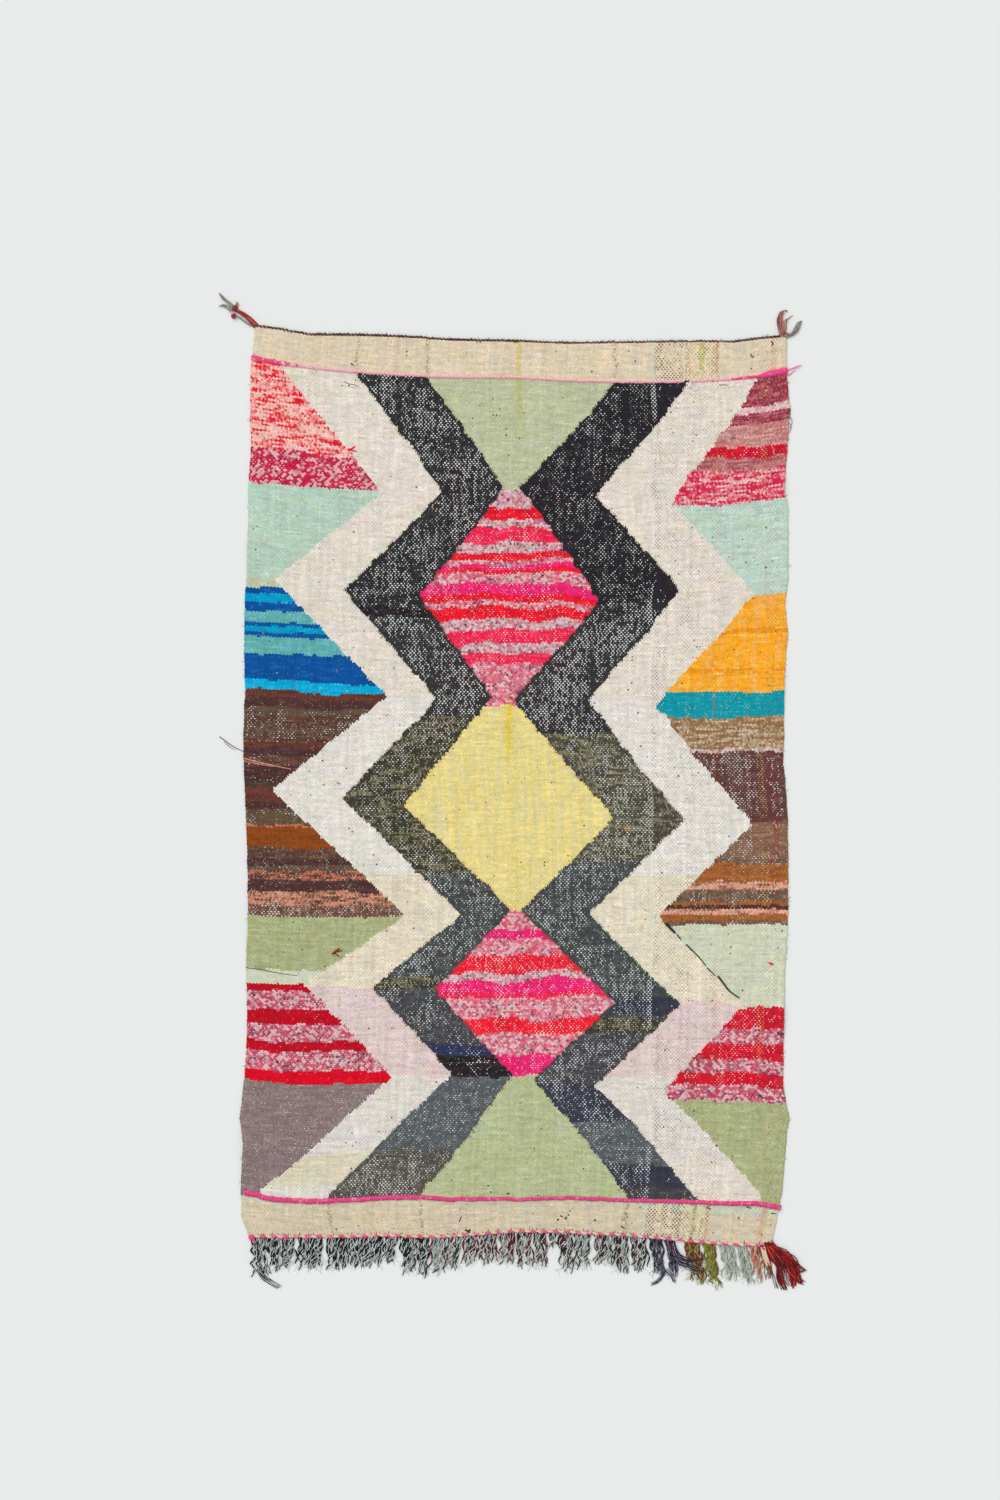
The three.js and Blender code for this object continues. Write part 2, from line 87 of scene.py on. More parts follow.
YARNS = {  # name: main colour, second colour, share of the second, how much warp shows
    "poppy marl": ((230, 30, 50), (248, 196, 186), 0.52, 0.12),
    "berry speckle": ((206, 40, 80), (96, 56, 84), 0.22, 0.42),
    "mint": ((178, 207, 188), (196, 216, 200), 0.35, 0.1),
    "straw": ((200, 204, 168), (190, 206, 180), 0.4, 0.1),
    "royal": ((8, 80, 152), (26, 104, 178), 0.3, 0.06),
    "sky": ((0, 150, 196), (20, 172, 212), 0.3, 0.05),
    "sea": ((94, 174, 174), (122, 192, 186), 0.3, 0.1),
    "cocoa": ((88, 58, 48), (112, 82, 64), 0.42, 0.4),
    "plum brown": ((76, 48, 48), (98, 68, 62), 0.34, 0.2),
    "olive cocoa": ((102, 82, 64), (92, 72, 58), 0.4, 0.36),
    "rust": ((144, 74, 24), (122, 64, 28), 0.35, 0.04),
    "dark brown": ((90, 62, 50), (124, 92, 76), 0.35, 0.2),
    "rust heather": ((86, 56, 48), (188, 112, 84), 0.5, 0.36),
    "sage": ((168, 174, 126), (182, 188, 142), 0.35, 0.12),
    "centre sage": ((186, 192, 154), (198, 202, 168), 0.4, 0.2),
    "pale mint": ((206, 212, 184), (214, 214, 188), 0.4, 0.1),
    "crimson": ((196, 10, 34), (170, 8, 34), 0.35, 0.16),
    "crimson slub": ((220, 20, 46), (194, 20, 46), 0.4, 0.42),
    "rose heather": ((204, 96, 118), (84, 76, 92), 0.3, 0.55),
    "mauve": ((134, 114, 114), (150, 132, 130), 0.4, 0.3),
    "wine": ((148, 50, 68), (190, 110, 114), 0.42, 0.16),
    "shell": ((230, 194, 190), (196, 146, 148), 0.3, 0.2),
    "dusty rose": ((192, 116, 116), (212, 166, 156), 0.45, 0.2),
    "berry marl": ((214, 34, 76), (238, 186, 184), 0.42, 0.1),
    "dawn mint": ((184, 211, 194), (204, 220, 206), 0.4, 0.12),
    "orange": ((252, 166, 24), (249, 192, 76), 0.35, 0.05),
    "dark orange": ((238, 146, 12), (248, 172, 40), 0.3, 0.02),
    "teal": ((10, 152, 168), (70, 176, 180), 0.22, 0.2),
    "barley": ((146, 108, 70), (202, 182, 154), 0.45, 0.1),
    "chalk line": ((206, 190, 172), (160, 130, 110), 0.4, 0.2),
    "maroon brown": ((94, 60, 58), (124, 82, 72), 0.35, 0.55),
    "umber": ((130, 94, 74), (152, 118, 94), 0.4, 0.5),
    "fox": ((168, 100, 50), (142, 84, 46), 0.4, 0.2),
    "bark": ((108, 84, 66), (136, 108, 86), 0.4, 0.5),
    "scarlet": ((244, 26, 48), (212, 18, 44), 0.4, 0.45),
    "cherry": ((240, 30, 74), (242, 64, 100), 0.4, 0.45),
    "hot pink": ((240, 36, 118), (222, 36, 94), 0.34, 0.55),
    "pink heather": ((226, 118, 138), (104, 96, 108), 0.3, 0.6),
    "grey heather": ((212, 158, 166), (104, 98, 106), 0.32, 0.7),
    "yellow": ((238, 219, 136), (226, 210, 140), 0.4, 0.04),
    "black": ((44, 44, 45), (60, 57, 57), 0.3, 0.78),
    "close black": ((34, 32, 34), (56, 44, 50), 0.4, 0.3),
    "olive black": ((60, 58, 46), (128, 122, 92), 0.4, 0.6),
    "charcoal": ((65, 70, 70), (90, 94, 92), 0.4, 0.74),
    "slate black": ((66, 67, 71), (88, 88, 92), 0.4, 0.62),
    "navy": ((48, 52, 84), (60, 64, 90), 0.35, 0.4),
    "storm": ((84, 91, 94), (102, 107, 108), 0.4, 0.45),
    "stone": ((84, 80, 72), (112, 107, 96), 0.4, 0.72),
    "cream": ((232, 222, 208), (224, 211, 196), 0.35, 0.26),
    "grey cream": ((232, 226, 217), (224, 218, 208), 0.35, 0.24),
    "butter": ((232, 222, 196), (222, 206, 184), 0.35, 0.34),
    "blush": ((226, 204, 200), (216, 190, 188), 0.35, 0.3),
    "chalk": ((228, 221, 212), (218, 212, 203), 0.35, 0.34),
    "russet brown": ((108, 60, 46), (84, 50, 44), 0.4, 0.12),
    "green black": ((64, 62, 46), (92, 72, 58), 0.3, 0.1),
    "salmon line": ((112, 72, 58), (196, 120, 88), 0.6, 0.1),
    "salmon heather": ((136, 88, 68), (224, 164, 138), 0.6, 0.24),
    "low sage": ((178, 186, 140), (190, 196, 154), 0.4, 0.14),
    "worn black": ((50, 50, 51), (68, 66, 66), 0.3, 1.0),
    "shadow black": ((38, 36, 40), (54, 48, 54), 0.3, 0.46),
    "low navy": ((56, 58, 72), (66, 68, 80), 0.35, 0.62),
    "worn brown": ((108, 74, 58), (146, 108, 84), 0.4, 0.7),
    "pale sky": ((0, 168, 214), (26, 184, 224), 0.3, 0.05),
    "low crimson": ((226, 8, 36), (200, 8, 36), 0.35, 0.1),
    "worn scarlet": ((246, 34, 54), (220, 28, 50), 0.36, 0.62),
    "worn olive": ((74, 72, 60), (138, 132, 104), 0.4, 0.7),
    "oat": ((222, 213, 186), (214, 206, 184), 0.35, 0.16),
    "faded rust": ((96, 66, 54), (206, 138, 110), 0.54, 0.4),
    "worn rose": ((164, 82, 90), (200, 130, 128), 0.5, 0.32),
    "head band": ((229, 211, 183), (218, 201, 174), 0.45, 0.12),
    "foot band": ((216, 203, 176), (206, 191, 164), 0.45, 0.12),
    "mint line": ((196, 204, 180), (206, 210, 190), 0.4, 0.06),
}

# Each list runs from the head line to the foot line. A row is a yarn and where it ends.
LEFT_STRIPES = [
    ("poppy marl", 775), ("berry speckle", 698), ("mint", 486), ("straw", 462), ("royal", 444),
    ("sky", 425), ("royal", 402), ("sea", 376), ("royal", 369), ("sky", 353), ("royal", 344),
    ("sea", 304), ("royal", 240), ("pale sky", 217), ("russet brown", 200), ("plum brown", 176),
    ("olive cocoa", 160), ("cocoa", 130), ("olive cocoa", 120), ("cocoa", 98),
    ("russet brown", 84), ("plum brown", 62), ("cocoa", 40), ("plum brown", 2),
    ("green black", -10), ("russet brown", -48), ("plum brown", -62), ("olive cocoa", -98),
    ("salmon line", -105), ("rust", -152), ("dark brown", -180), ("plum brown", -196),
    ("olive cocoa", -209), ("rust heather", -231), ("plum brown", -259), ("faded rust", -291),
    ("worn brown", -317), ("sage", -448), ("pale mint", -480), ("crimson", -499),
    ("rose heather", -542), ("crimson", -576), ("rose heather", -616), ("crimson", -640),
    ("rose heather", -688), ("low crimson", -717), ("mauve", -993),
]
RIGHT_STRIPES = [
    ("wine", 904), ("shell", 889), ("wine", 864), ("dusty rose", 812), ("crimson slub", 786),
    ("worn rose", 754), ("berry marl", 676), ("dawn mint", 455), ("orange", 373),
    ("dark orange", 362), ("orange", 279), ("dark orange", 268), ("orange", 223),
    ("teal", 163), ("barley", 88), ("chalk line", 80), ("maroon brown", -87), ("umber", -172),
    ("bark", -187), ("fox", -230), ("salmon heather", -247), ("bark", -276), ("fox", -285),
    ("plum brown", -296), ("salmon heather", -309), ("fox", -325), ("bark", -333),
    ("pale mint", -526), ("crimson slub", -580), ("rose heather", -618),
    ("crimson slub", -656), ("rose heather", -687), ("crimson slub", -715), ("rose heather", -754),
    ("sage", -993),
]
CENTRE_STRIPES = [
    ("centre sage", 710), ("grey heather", 667), ("scarlet", 634), ("grey heather", 614),
    ("cherry", 581), ("grey heather", 557), ("scarlet", 540), ("pink heather", 528),
    ("hot pink", 519), ("scarlet", 509), ("pink heather", 480), ("hot pink", 456),
    ("scarlet", 439), ("pink heather", 425), ("scarlet", 398), ("grey heather", 372),
    ("cherry", 338), ("grey heather", 312), ("cherry", 288), ("pink heather", 190),
    ("yellow", -302), ("pink heather", -353), ("hot pink", -376), ("pink heather", -413),
    ("worn scarlet", -451), ("grey heather", -468), ("hot pink", -497), ("cherry", -508),
    ("pink heather", -560), ("worn scarlet", -594), ("pink heather", -650), ("hot pink", -703),
    ("low sage", -993),
]
LEFT_DARKS = [
    ("black", 420), ("close black", 398), ("worn black", 162), ("olive black", -215),
    ("charcoal", -463), ("olive black", -494), ("slate black", -627), ("navy", -653),
    ("close black", -662), ("black", -672), ("close black", -702), ("storm", -878),
    ("stone", -993),
]
RIGHT_DARKS = [
    ("shadow black", 440), ("black", 384), ("worn black", 122), ("worn olive", -183),
    ("charcoal", -507), ("low navy", -548), ("slate black", -560), ("olive black", -600),
    ("slate black", -720), ("low navy", -809), ("storm", -911), ("low navy", -960),
    ("slate black", -993),
]
LEFT_PALES = [
    ("cream", 202), ("grey cream", -222), ("butter", -487), ("blush", -706),
    ("chalk", -887), ("oat", -967), ("chalk", -993),
]
RIGHT_PALES = [
    ("cream", 202), ("grey cream", -222), ("butter", -520), ("blush", -706),
    ("chalk", -887), ("cream", -993),
]

# The zigzags, in order from the left selvedge. A row is a turning point: across, along.
ZIGZAGS = {
    "outer left": [
        (-576, 975), (-325, 696), (-582, 477), (-549, 456), (-305, 211), (-580, -17),
        (-269, -314), (-505, -479), (-291, -704), (-601, -977),
    ],
    "inner left": [
        (-391, 975), (-178, 703), (-410, 462), (-183, 204), (-413, -34), (-136, -312),
        (-342, -489), (-149, -695), (-437, -984),
    ],
    "core left": [
        (-219, 972), (-32, 713), (-230, 454), (-54, 209), (-268, -52), (-17, -300),
        (-193, -493), (-4, -698), (-215, -979),
    ],
    "core right": [
        (232, 977), (9, 713), (201, 443), (-1, 204), (234, -77), (7, -302),
        (239, -521), (46, -706), (278, -983),
    ],
    "inner right": [
        (404, 973), (188, 698), (391, 470), (176, 205), (398, -82), (167, -308),
        (394, -523), (195, -722), (443, -986),
    ],
    "outer right": [
        (576, 974), (367, 682), (569, 458), (360, 224), (341, 191), (560, -92),
        (332, -313), (546, -523), (356, -733), (597, -974),
    ],
}


# ------------------------------------------------------------------ where things lie

def from_table(table, at, column):
    """One column of a table at a place between its rows. The first column says where."""
    rows = table if table[-1][0] > table[0][0] else table[::-1]
    if at <= rows[0][0]:
        return rows[0][column]
    for low, high in zip(rows, rows[1:]):
        if at <= high[0]:
            share = (at - low[0]) / (high[0] - low[0])
            return low[column] + share * (high[column] - low[column])
    return rows[-1][column]


def lerp(start, end, share):
    """The place at a share of the way from start to end."""
    return start + (end - start) * share


def spread(start, end, steps):
    """Places from start to end, without the start itself."""
    return [lerp(start, end, (i + 1) / steps) for i in range(steps)]


def in_frame(x, y, z=0.0):
    """A point on the rug, in millimetres, as a point of the frame, in metres."""
    return Vector(((x + FRAME_SHIFT[0]) * MM, (y + FRAME_SHIFT[1]) * MM, z * MM))


def course_y(across, along):
    """How far up the rug a pick lies, along being its place on the loom."""
    head_edge, head_line, foot_line, foot_edge = (
        from_table(COURSES, across, column) for column in (1, 2, 3, 4)
    )
    if along >= HEAD_LINE:
        return lerp(head_line, head_edge, (along - HEAD_LINE) / (HEAD_EDGE - HEAD_LINE))
    if along <= FOOT_LINE:
        return lerp(foot_line, foot_edge, (along - FOOT_LINE) / (FOOT_EDGE - FOOT_LINE))
    down = (HEAD_LINE - along) / (HEAD_LINE - FOOT_LINE)
    bow_at_head = (head_line - HEAD_LINE) * (1 - down) ** 3
    bow_at_foot = (foot_line - FOOT_LINE) * down ** 3
    return along + bow_at_head + bow_at_foot


def course_x(across, y):
    """How far to the side a warp lies, across being its place between the selvedges."""
    left = -from_table(SELVEDGES, y, 1)
    right = from_table(SELVEDGES, y, 2)
    return lerp(left, right, (across + 1) / 2)


def lift_at(x, y):
    """How far the cloth stands off the floor at one place."""
    lift = 0.0
    for from_x, from_y, from_rise, to_x, to_y, to_rise, half_width in CREASES:
        run_x, run_y = to_x - from_x, to_y - from_y
        along = (x - from_x) * run_x + (y - from_y) * run_y
        share = min(max(along / (run_x ** 2 + run_y ** 2), 0.0), 1.0)
        away = math.hypot(x - from_x - share * run_x, y - from_y - share * run_y)
        if away < half_width:
            ridge = 0.5 + 0.5 * math.cos(math.pi * away / half_width)
            lift = max(lift, lerp(from_rise, to_rise, share) * ridge)
    return lift


def line_points(along, start_x, end_x, step):
    """Points a step apart along one pick, as x and y on the rug."""
    points = []
    for i in range(int((end_x - start_x) / step) + 1):
        x = start_x + i * step
        across = min(max(x / HALF_WIDTH, -1.0), 1.0)
        points.append((x, course_y(across, along)))
    return points


# ------------------------------------------------------------------ laying out nodes

def linear(colour):
    """A 0-255 display colour as the linear colour that a socket takes."""
    channels = [c / 255 for c in colour]
    shares = [c / 12.92 if c <= 0.04045 else ((c + 0.055) / 1.055) ** 2.4 for c in channels]
    return (*shares, 1.0)


class Draft:
    """Lays out the nodes of one tree, each after what it reads."""

    def __init__(self, tree):
        self.tree = tree

    def plug(self, socket, value):
        if isinstance(value, bpy.types.NodeSocket):
            self.tree.links.new(value, socket)
        else:
            socket.default_value = value

    def add(self, kind, inputs=None, **settings):
        node = self.tree.nodes.new(kind)
        for name, value in settings.items():
            setattr(node, name, value)
        for name, value in (inputs or {}).items():
            self.plug(node.inputs[name], value)
        return node

    def math(self, operation, *values, clamp=False):
        inputs = dict(enumerate(values))
        return self.add("ShaderNodeMath", inputs, operation=operation, use_clamp=clamp).outputs[0]

    def plus(self, first, second):
        return self.math("ADD", first, second)

    def minus(self, first, second, clamp=False):
        return self.math("SUBTRACT", first, second, clamp=clamp)

    def times(self, first, second, clamp=False):
        return self.math("MULTIPLY", first, second, clamp=clamp)

    def scaled(self, value, factor, start, clamp=False):
        """Start, and the value times a factor added to it."""
        return self.math("MULTIPLY_ADD", value, factor, start, clamp=clamp)

    def above(self, value, limit):
        return self.math("GREATER_THAN", value, limit)

    def below(self, value, limit):
        return self.math("LESS_THAN", value, limit)

    def absolute(self, value):
        return self.math("ABSOLUTE", value)

    def floor(self, value):
        return self.math("FLOOR", value)

    def larger(self, first, second):
        return self.math("MAXIMUM", first, second)

    def vector(self, operation, *values):
        inputs = dict(enumerate(values))
        return self.add("ShaderNodeVectorMath", inputs, operation=operation).outputs[0]

    def shade(self, colour, value):
        """A colour times one value."""
        return self.vector("MULTIPLY", colour, self.combine(value, value, value))

    def lightness(self, colour):
        return self.add("ShaderNodeRGBToBW", {0: colour}).outputs[0]

    def mix(self, share, first, second):
        inputs = {0: share, 6: first, 7: second}
        return self.add("ShaderNodeMix", inputs, data_type="RGBA").outputs[2]

    def mix_value(self, share, first, second):
        return self.add("ShaderNodeMix", {0: share, 2: first, 3: second}).outputs[0]

    def combine(self, x, y, z=0.0):
        return self.add("ShaderNodeCombineXYZ", {0: x, 1: y, 2: z}).outputs[0]

    def separate(self, vector):
        return self.add("ShaderNodeSeparateXYZ", {0: vector}).outputs

    def noise(self, place, scale, detail=2.0, roughness=0.5):
        inputs = {"Vector": place, "Scale": scale, "Detail": detail, "Roughness": roughness}
        return self.add("ShaderNodeTexNoise", inputs).outputs

    def random(self, place):
        return self.add("ShaderNodeTexWhiteNoise", {"Vector": place}).outputs

    def span(self, value, low, high):
        """The value as a share of the way from low to high, kept within 0 and 1."""
        inputs = {"Value": value, "From Min": low, "From Max": high}
        return self.add("ShaderNodeMapRange", inputs, clamp=True).outputs[0]

    def stepped(self, place, steps):
        """A ramp of plain steps. A step is where it starts, its linear colour and its alpha."""
        node = self.add("ShaderNodeValToRGB", {0: place})
        ramp = node.color_ramp
        ramp.interpolation = "CONSTANT"
        while len(ramp.elements) < len(steps):
            ramp.elements.new(0.5)
        for element, (start, colour, alpha) in zip(ramp.elements, steps):
            element.position = start
            element.color = (*colour[:3], alpha)
        return node.outputs["Color"], node.outputs["Alpha"]

    def use(self, tree, inputs):
        node = self.tree.nodes.new("ShaderNodeGroup")
        node.node_tree = tree
        for name, value in inputs.items():
            self.plug(node.inputs[name], value)
        return node.outputs


SOCKETS = {"value": "NodeSocketFloat", "vector": "NodeSocketVector", "colour": "NodeSocketColor"}


def new_group(name, inputs, outputs):
    """An empty node group with its named sockets. Inputs hold name: (kind, value)."""
    tree = bpy.data.node_groups.new(name, "ShaderNodeTree")
    for label, (kind, value) in inputs.items():
        socket = tree.interface.new_socket(
            name=label, in_out="INPUT", socket_type=SOCKETS[kind]
        )
        if value is not None:
            socket.default_value = value
    for label, kind in outputs.items():
        tree.interface.new_socket(name=label, in_out="OUTPUT", socket_type=SOCKETS[kind])
    draft = Draft(tree)
    return tree, draft, draft.add("NodeGroupInput").outputs


# ------------------------------------------------------------------ shared effects

SWAY_SCALE = 24.0
SWAY = (0.0016, 0.0065, 0.0)  # how far warps and picks stray from straight, in metres
PICK_SWELL = 0.24  # how far a pick swells between warps, as a share of its height
END_DIP, SIDE_DIP = 0.8, 0.9  # how low a float's ends and sides lie under its middle
GAP_SLIMNESS, GAP_FLATNESS = 5.9, 2.1  # the shape of the gap where a warp shows
FIBRE_DETAIL, FIBRE_ROUGHNESS = 2.0, 0.7  # of the noise that gives a yarn its fuzz
FUZZ_SCALE = 900.0
PATCH_DETAIL, PATCH_ROUGHNESS = 3.0, 0.6  # of the noise that parts its colours
MARL_HARDNESS = 7.0  # how sharply a yarn's two colours part
WOOL_TONES = (0.9, 0.56)  # swing and least, by the fuzz
WOOL_ROUGHNESS = (0.2, 0.78)
WOOL_DEPTH, CLOTH_DEPTH = 0.0006, 0.0008  # of the bump, in metres
# These keep the random draws of one stitch apart.
SEEDS = {"gap": 17.0, "row": 3.0, "warp": 5.0, "marl": 9.0, "fleck": 4.0}
MIDDLE_REACH = (0.46, 0.6)  # metres from the middle over which a middle share gives way


def weave_cell_group():
    """Sorts a place on the loom into floats of weft, each two warps wide and one pick high."""
    tree, draft, given = new_group(
        "Weave Cell",
        {
            "Place": ("vector", None),
            "Warp Spacing": ("value", WARP_SPACING * MM),
            "Pick Height": ("value", PICK_HEIGHT * MM),
        },
        {
            "Stitch": "vector", "Float": "vector", "Gap": "vector", "Height": "value",
            "Gap Distance": "value", "Warp": "value", "Row": "value",
        },
    )
    swayed = draft.noise(given["Place"], SWAY_SCALE, 1.0)["Color"]
    centred = draft.vector("SUBTRACT", swayed, (0.5, 0.5, 0.5))
    moved = draft.vector("MULTIPLY", centred, SWAY)
    place = draft.separate(draft.vector("ADD", given["Place"], moved))
    warps = draft.math("DIVIDE", place[0], given["Warp Spacing"])
    level = draft.math("DIVIDE", place[1], given["Pick Height"])
    beats = [draft.math("COSINE", draft.times(value, math.pi)) for value in (warps, level)]
    picks = draft.scaled(draft.times(*beats), -PICK_SWELL, level)
    warp, row = draft.floor(warps), draft.floor(picks)
    odd = draft.math("FLOORED_MODULO", row, 2.0)
    shifted = draft.times(draft.plus(warps, odd), 0.5)
    brick = draft.floor(shifted)
    gap = draft.floor(draft.plus(shifted, 0.5))
    stitch_x = draft.times(draft.plus(warp, 0.5), given["Warp Spacing"])
    stitch_y = draft.times(draft.plus(row, 0.5), given["Pick Height"])
    local_x = draft.scaled(draft.math("FRACT", shifted), 2.0, -1.0)
    local_y = draft.scaled(draft.math("FRACT", picks), 2.0, -1.0)
    across_cube = draft.math("POWER", draft.absolute(local_x), 3.0)
    along_square = draft.times(local_y, local_y)
    dip = draft.scaled(across_cube, END_DIP, draft.times(along_square, SIDE_DIP))
    gap_across = draft.times(draft.minus(shifted, gap), GAP_SLIMNESS)
    gap_square = draft.times(gap_across, gap_across)
    draft.add("NodeGroupOutput", {
        "Stitch": draft.combine(stitch_x, stitch_y),
        "Float": draft.combine(brick, row),
        "Gap": draft.combine(gap, row, SEEDS["gap"]),
        "Height": draft.minus(1.0, dip, clamp=True),
        "Gap Distance": draft.scaled(along_square, GAP_FLATNESS, gap_square),
        "Warp": warp,
        "Row": row,
    })
    return tree


def wool_group():
    """Fibre and marl of a spun yarn: two colours that wander, with fuzz for the bump."""
    grey = (0.5, 0.5, 0.5, 1.0)
    tree, draft, given = new_group(
        "Spun Wool",
        {
            "Place": ("vector", None),
            "Main": ("colour", grey),
            "Second": ("colour", grey),
            "Share": ("value", 0.4),
            "Patch": ("value", 120.0),
        },
        {"Colour": "colour", "Roughness": "value", "Height": "value"},
    )
    patches = draft.noise(given["Place"], given["Patch"], PATCH_DETAIL, PATCH_ROUGHNESS)[0]
    lean = draft.minus(given["Share"], patches)
    share = draft.scaled(lean, MARL_HARDNESS, 0.5, clamp=True)
    plied = draft.mix(share, given["Main"], given["Second"])
    fuzz = draft.noise(given["Place"], FUZZ_SCALE, FIBRE_DETAIL, FIBRE_ROUGHNESS)[0]
    draft.add("NodeGroupOutput", {
        "Colour": draft.shade(plied, draft.scaled(fuzz, *WOOL_TONES)),
        "Roughness": draft.scaled(fuzz, *WOOL_ROUGHNESS),
        "Height": fuzz,
    })
    return tree


def wool_finish(draft, colour, roughness, height, depth):
    """The shader that every woollen material ends in."""
    bump = draft.add("ShaderNodeBump", {"Strength": 0.7, "Distance": depth, "Height": height})
    shader = draft.add("ShaderNodeBsdfPrincipled", {
        "Base Color": colour,
        "Roughness": roughness,
        "Normal": bump.outputs[0],
        "Specular IOR Level": 0.08,
        "Sheen Weight": 0.02,
        "Sheen Roughness": 0.6,
    })
    draft.add("ShaderNodeOutputMaterial", {"Surface": shader.outputs[0]})


def new_material(name):
    material = bpy.data.materials.new(name)
    material.use_nodes = True
    material.node_tree.nodes.clear()
    return material, Draft(material.node_tree)


def wool_material(name, main, second, share=0.4, patch=120.0, middle_share=None):
    """Spun wool in two colours. middle_share is the second's share halfway across the rug."""
    material, draft = new_material(name)
    place = draft.add("ShaderNodeTexCoord").outputs["Object"]
    if middle_share is not None:
        away = draft.absolute(draft.separate(place)[0])
        share = draft.mix_value(draft.span(away, *MIDDLE_REACH), middle_share, share)
    wool = draft.use(SPUN_WOOL, {
        "Place": place,
        "Main": linear(main),
        "Second": linear(second),
        "Share": share,
        "Patch": patch,
    })
    wool_finish(draft, wool["Colour"], wool["Roughness"], wool["Height"], WOOL_DEPTH)
    return material


def wools(rows):
    """The materials of one piece, a row for each, as wool_material takes it."""
    return [wool_material(*row) for row in rows]


# ------------------------------------------------------------------ the woven pattern

LOOM_LOW, LOOM_HIGH = -1.1, 1.1  # metres along the loom that the pattern's curves cover

GRAINS = {  # noise over the cloth: how it shrinks across and along, its scale, its detail
    "edge bite": (1.0, 1.0, 34.0, 2.0),
    "slow waver": (1.0, 1.0, 7.0, 1.0),
    "quick waver": (1.0, 1.0, 30.0, 2.0),
    "beating": (1.0, 1.0, 21.0, 1.0),
    "warm blot": (0.7, 1.0, 38.0, 2.0),
    "lent tint": (1.0, 0.5, 30.0, 1.0),
    "warp streak": (1.0, 0.06, 85.0, 2.0),
    "blotch": (1.0, 1.0, 13.0, 4.0),
    "pick band": (0.1, 1.0, 95.0, 2.0),
    "cluster": (1.0, 0.6, 125.0, 2.0),
    "thin streak": (1.0, 0.13, 62.0, 3.0),
    "dash": (0.11, 1.0, 250.0, 1.0),
    "dye lot": (0.12, 1.0, 130.0, 2.0),
    "pulled warp": (1.0, 0.05, 110.0, 2.0),
    "spinning": (1.0, 1.0, 330.0, 2.0),
    "fading": (0.45, 1.0, 36.0, 3.0),
    "tuft": (1.0, 1.0, 210.0, 1.0),
}
TINTS = {  # colours that lie over the yarns' own, and how strongly
    "warm blot": ((238, 212, 142), 0.45),
    "pale fleck": ((234, 208, 208), 0.6),
    "thin streak": ((196, 202, 188), 0.46),
    "dash": ((142, 120, 102), 0.5),
    "dark edge": ((72, 58, 44), 0.55),
}


def grain(draft, place, name, output=0):
    """One of the noises over the cloth."""
    across, along, scale, detail = GRAINS[name]
    if (across, along) != (1.0, 1.0):
        place = draft.vector("MULTIPLY", place, (across, along, 1.0))
    return draft.noise(place, scale, detail)[output]


def tinted(draft, colour, name, mask):
    """A colour with one of the tints over it, by a mask."""
    tint, strength = TINTS[name]
    return draft.mix(draft.times(mask, strength), colour, linear(tint))


def across_share(x):
    """A place across the cloth, in millimetres, as a share of its width."""
    return (x + HALF_WIDTH) / (2 * HALF_WIDTH)


def along_share(y):
    """A place along it as a share of what the pattern's curves cover."""
    return (y * MM - LOOM_LOW) / (LOOM_HIGH - LOOM_LOW)


def cloth_width(draft, metres):
    """The same share of the width for a place that nodes give, in metres."""
    return draft.span(metres, -HALF_WIDTH * MM, HALF_WIDTH * MM)


def zigzag_edge(draft, along, turns):
    """How far across one zigzag edge lies, by how far along."""
    node = draft.add("ShaderNodeFloatCurve", {"Value": along})
    curve = node.mapping.curves[0]
    places = sorted((along_share(y), across_share(x)) for x, y in turns)
    curve.points[0].location = (0.0, places[0][1])
    curve.points[1].location = (1.0, places[-1][1])
    for place in places:
        curve.points.new(*place)
    for point in curve.points:
        point.handle_type = "VECTOR"
    node.mapping.update()
    return node.outputs[0]


def stripe_ramp(draft, along, rows, low, high, pick):
    """Stripes between two places as one stepped ramp. pick gives a yarn's colour and share."""
    steps = []
    for (yarn, end), above in zip(rows, [HEAD_LINE] + [end for _, end in rows]):
        if end < high and above > low:
            colour, share = pick(YARNS[yarn])
            steps.append(((max(end, low) - low) / (high - low), linear(colour), share))
    place = draft.span(along, along_share(low), along_share(high))
    return draft.stepped(place, steps[::-1])


def stripes(draft, along, rows, ramps):
    """A column of stripes: main colour, share of the second, second colour, open share. It is
    split over several ramps, because a ramp has too few steps for sharp edges all the way."""
    length = HEAD_LINE - FOOT_LINE
    column = None
    for i in range(ramps):
        low = FOOT_LINE + i * length / ramps
        high = FOOT_LINE + (i + 1) * length / ramps
        main = stripe_ramp(draft, along, rows, low, high, lambda yarn: (yarn[0], yarn[2]))
        second = stripe_ramp(draft, along, rows, low, high, lambda yarn: (yarn[1], yarn[3]))
        if column is None:
            column = (*main, *second)
        else:
            beyond = draft.above(along, along_share(low))
            column = choose(draft, beyond, column, (*main, *second))
    return column


def choose(draft, mask, first, second):
    """Two yarns by a mask. Each is main colour, share, second colour, open share."""
    return (
        draft.mix(mask, first[0], second[0]),
        draft.mix_value(mask, first[1], second[1]),
        draft.mix(mask, first[2], second[2]),
        draft.mix_value(mask, first[3], second[3]),
    )


def plain_yarn(name):
    """One yarn as choose takes it."""
    main, second, share, openness = YARNS[name]
    return linear(main), share, linear(second), openness


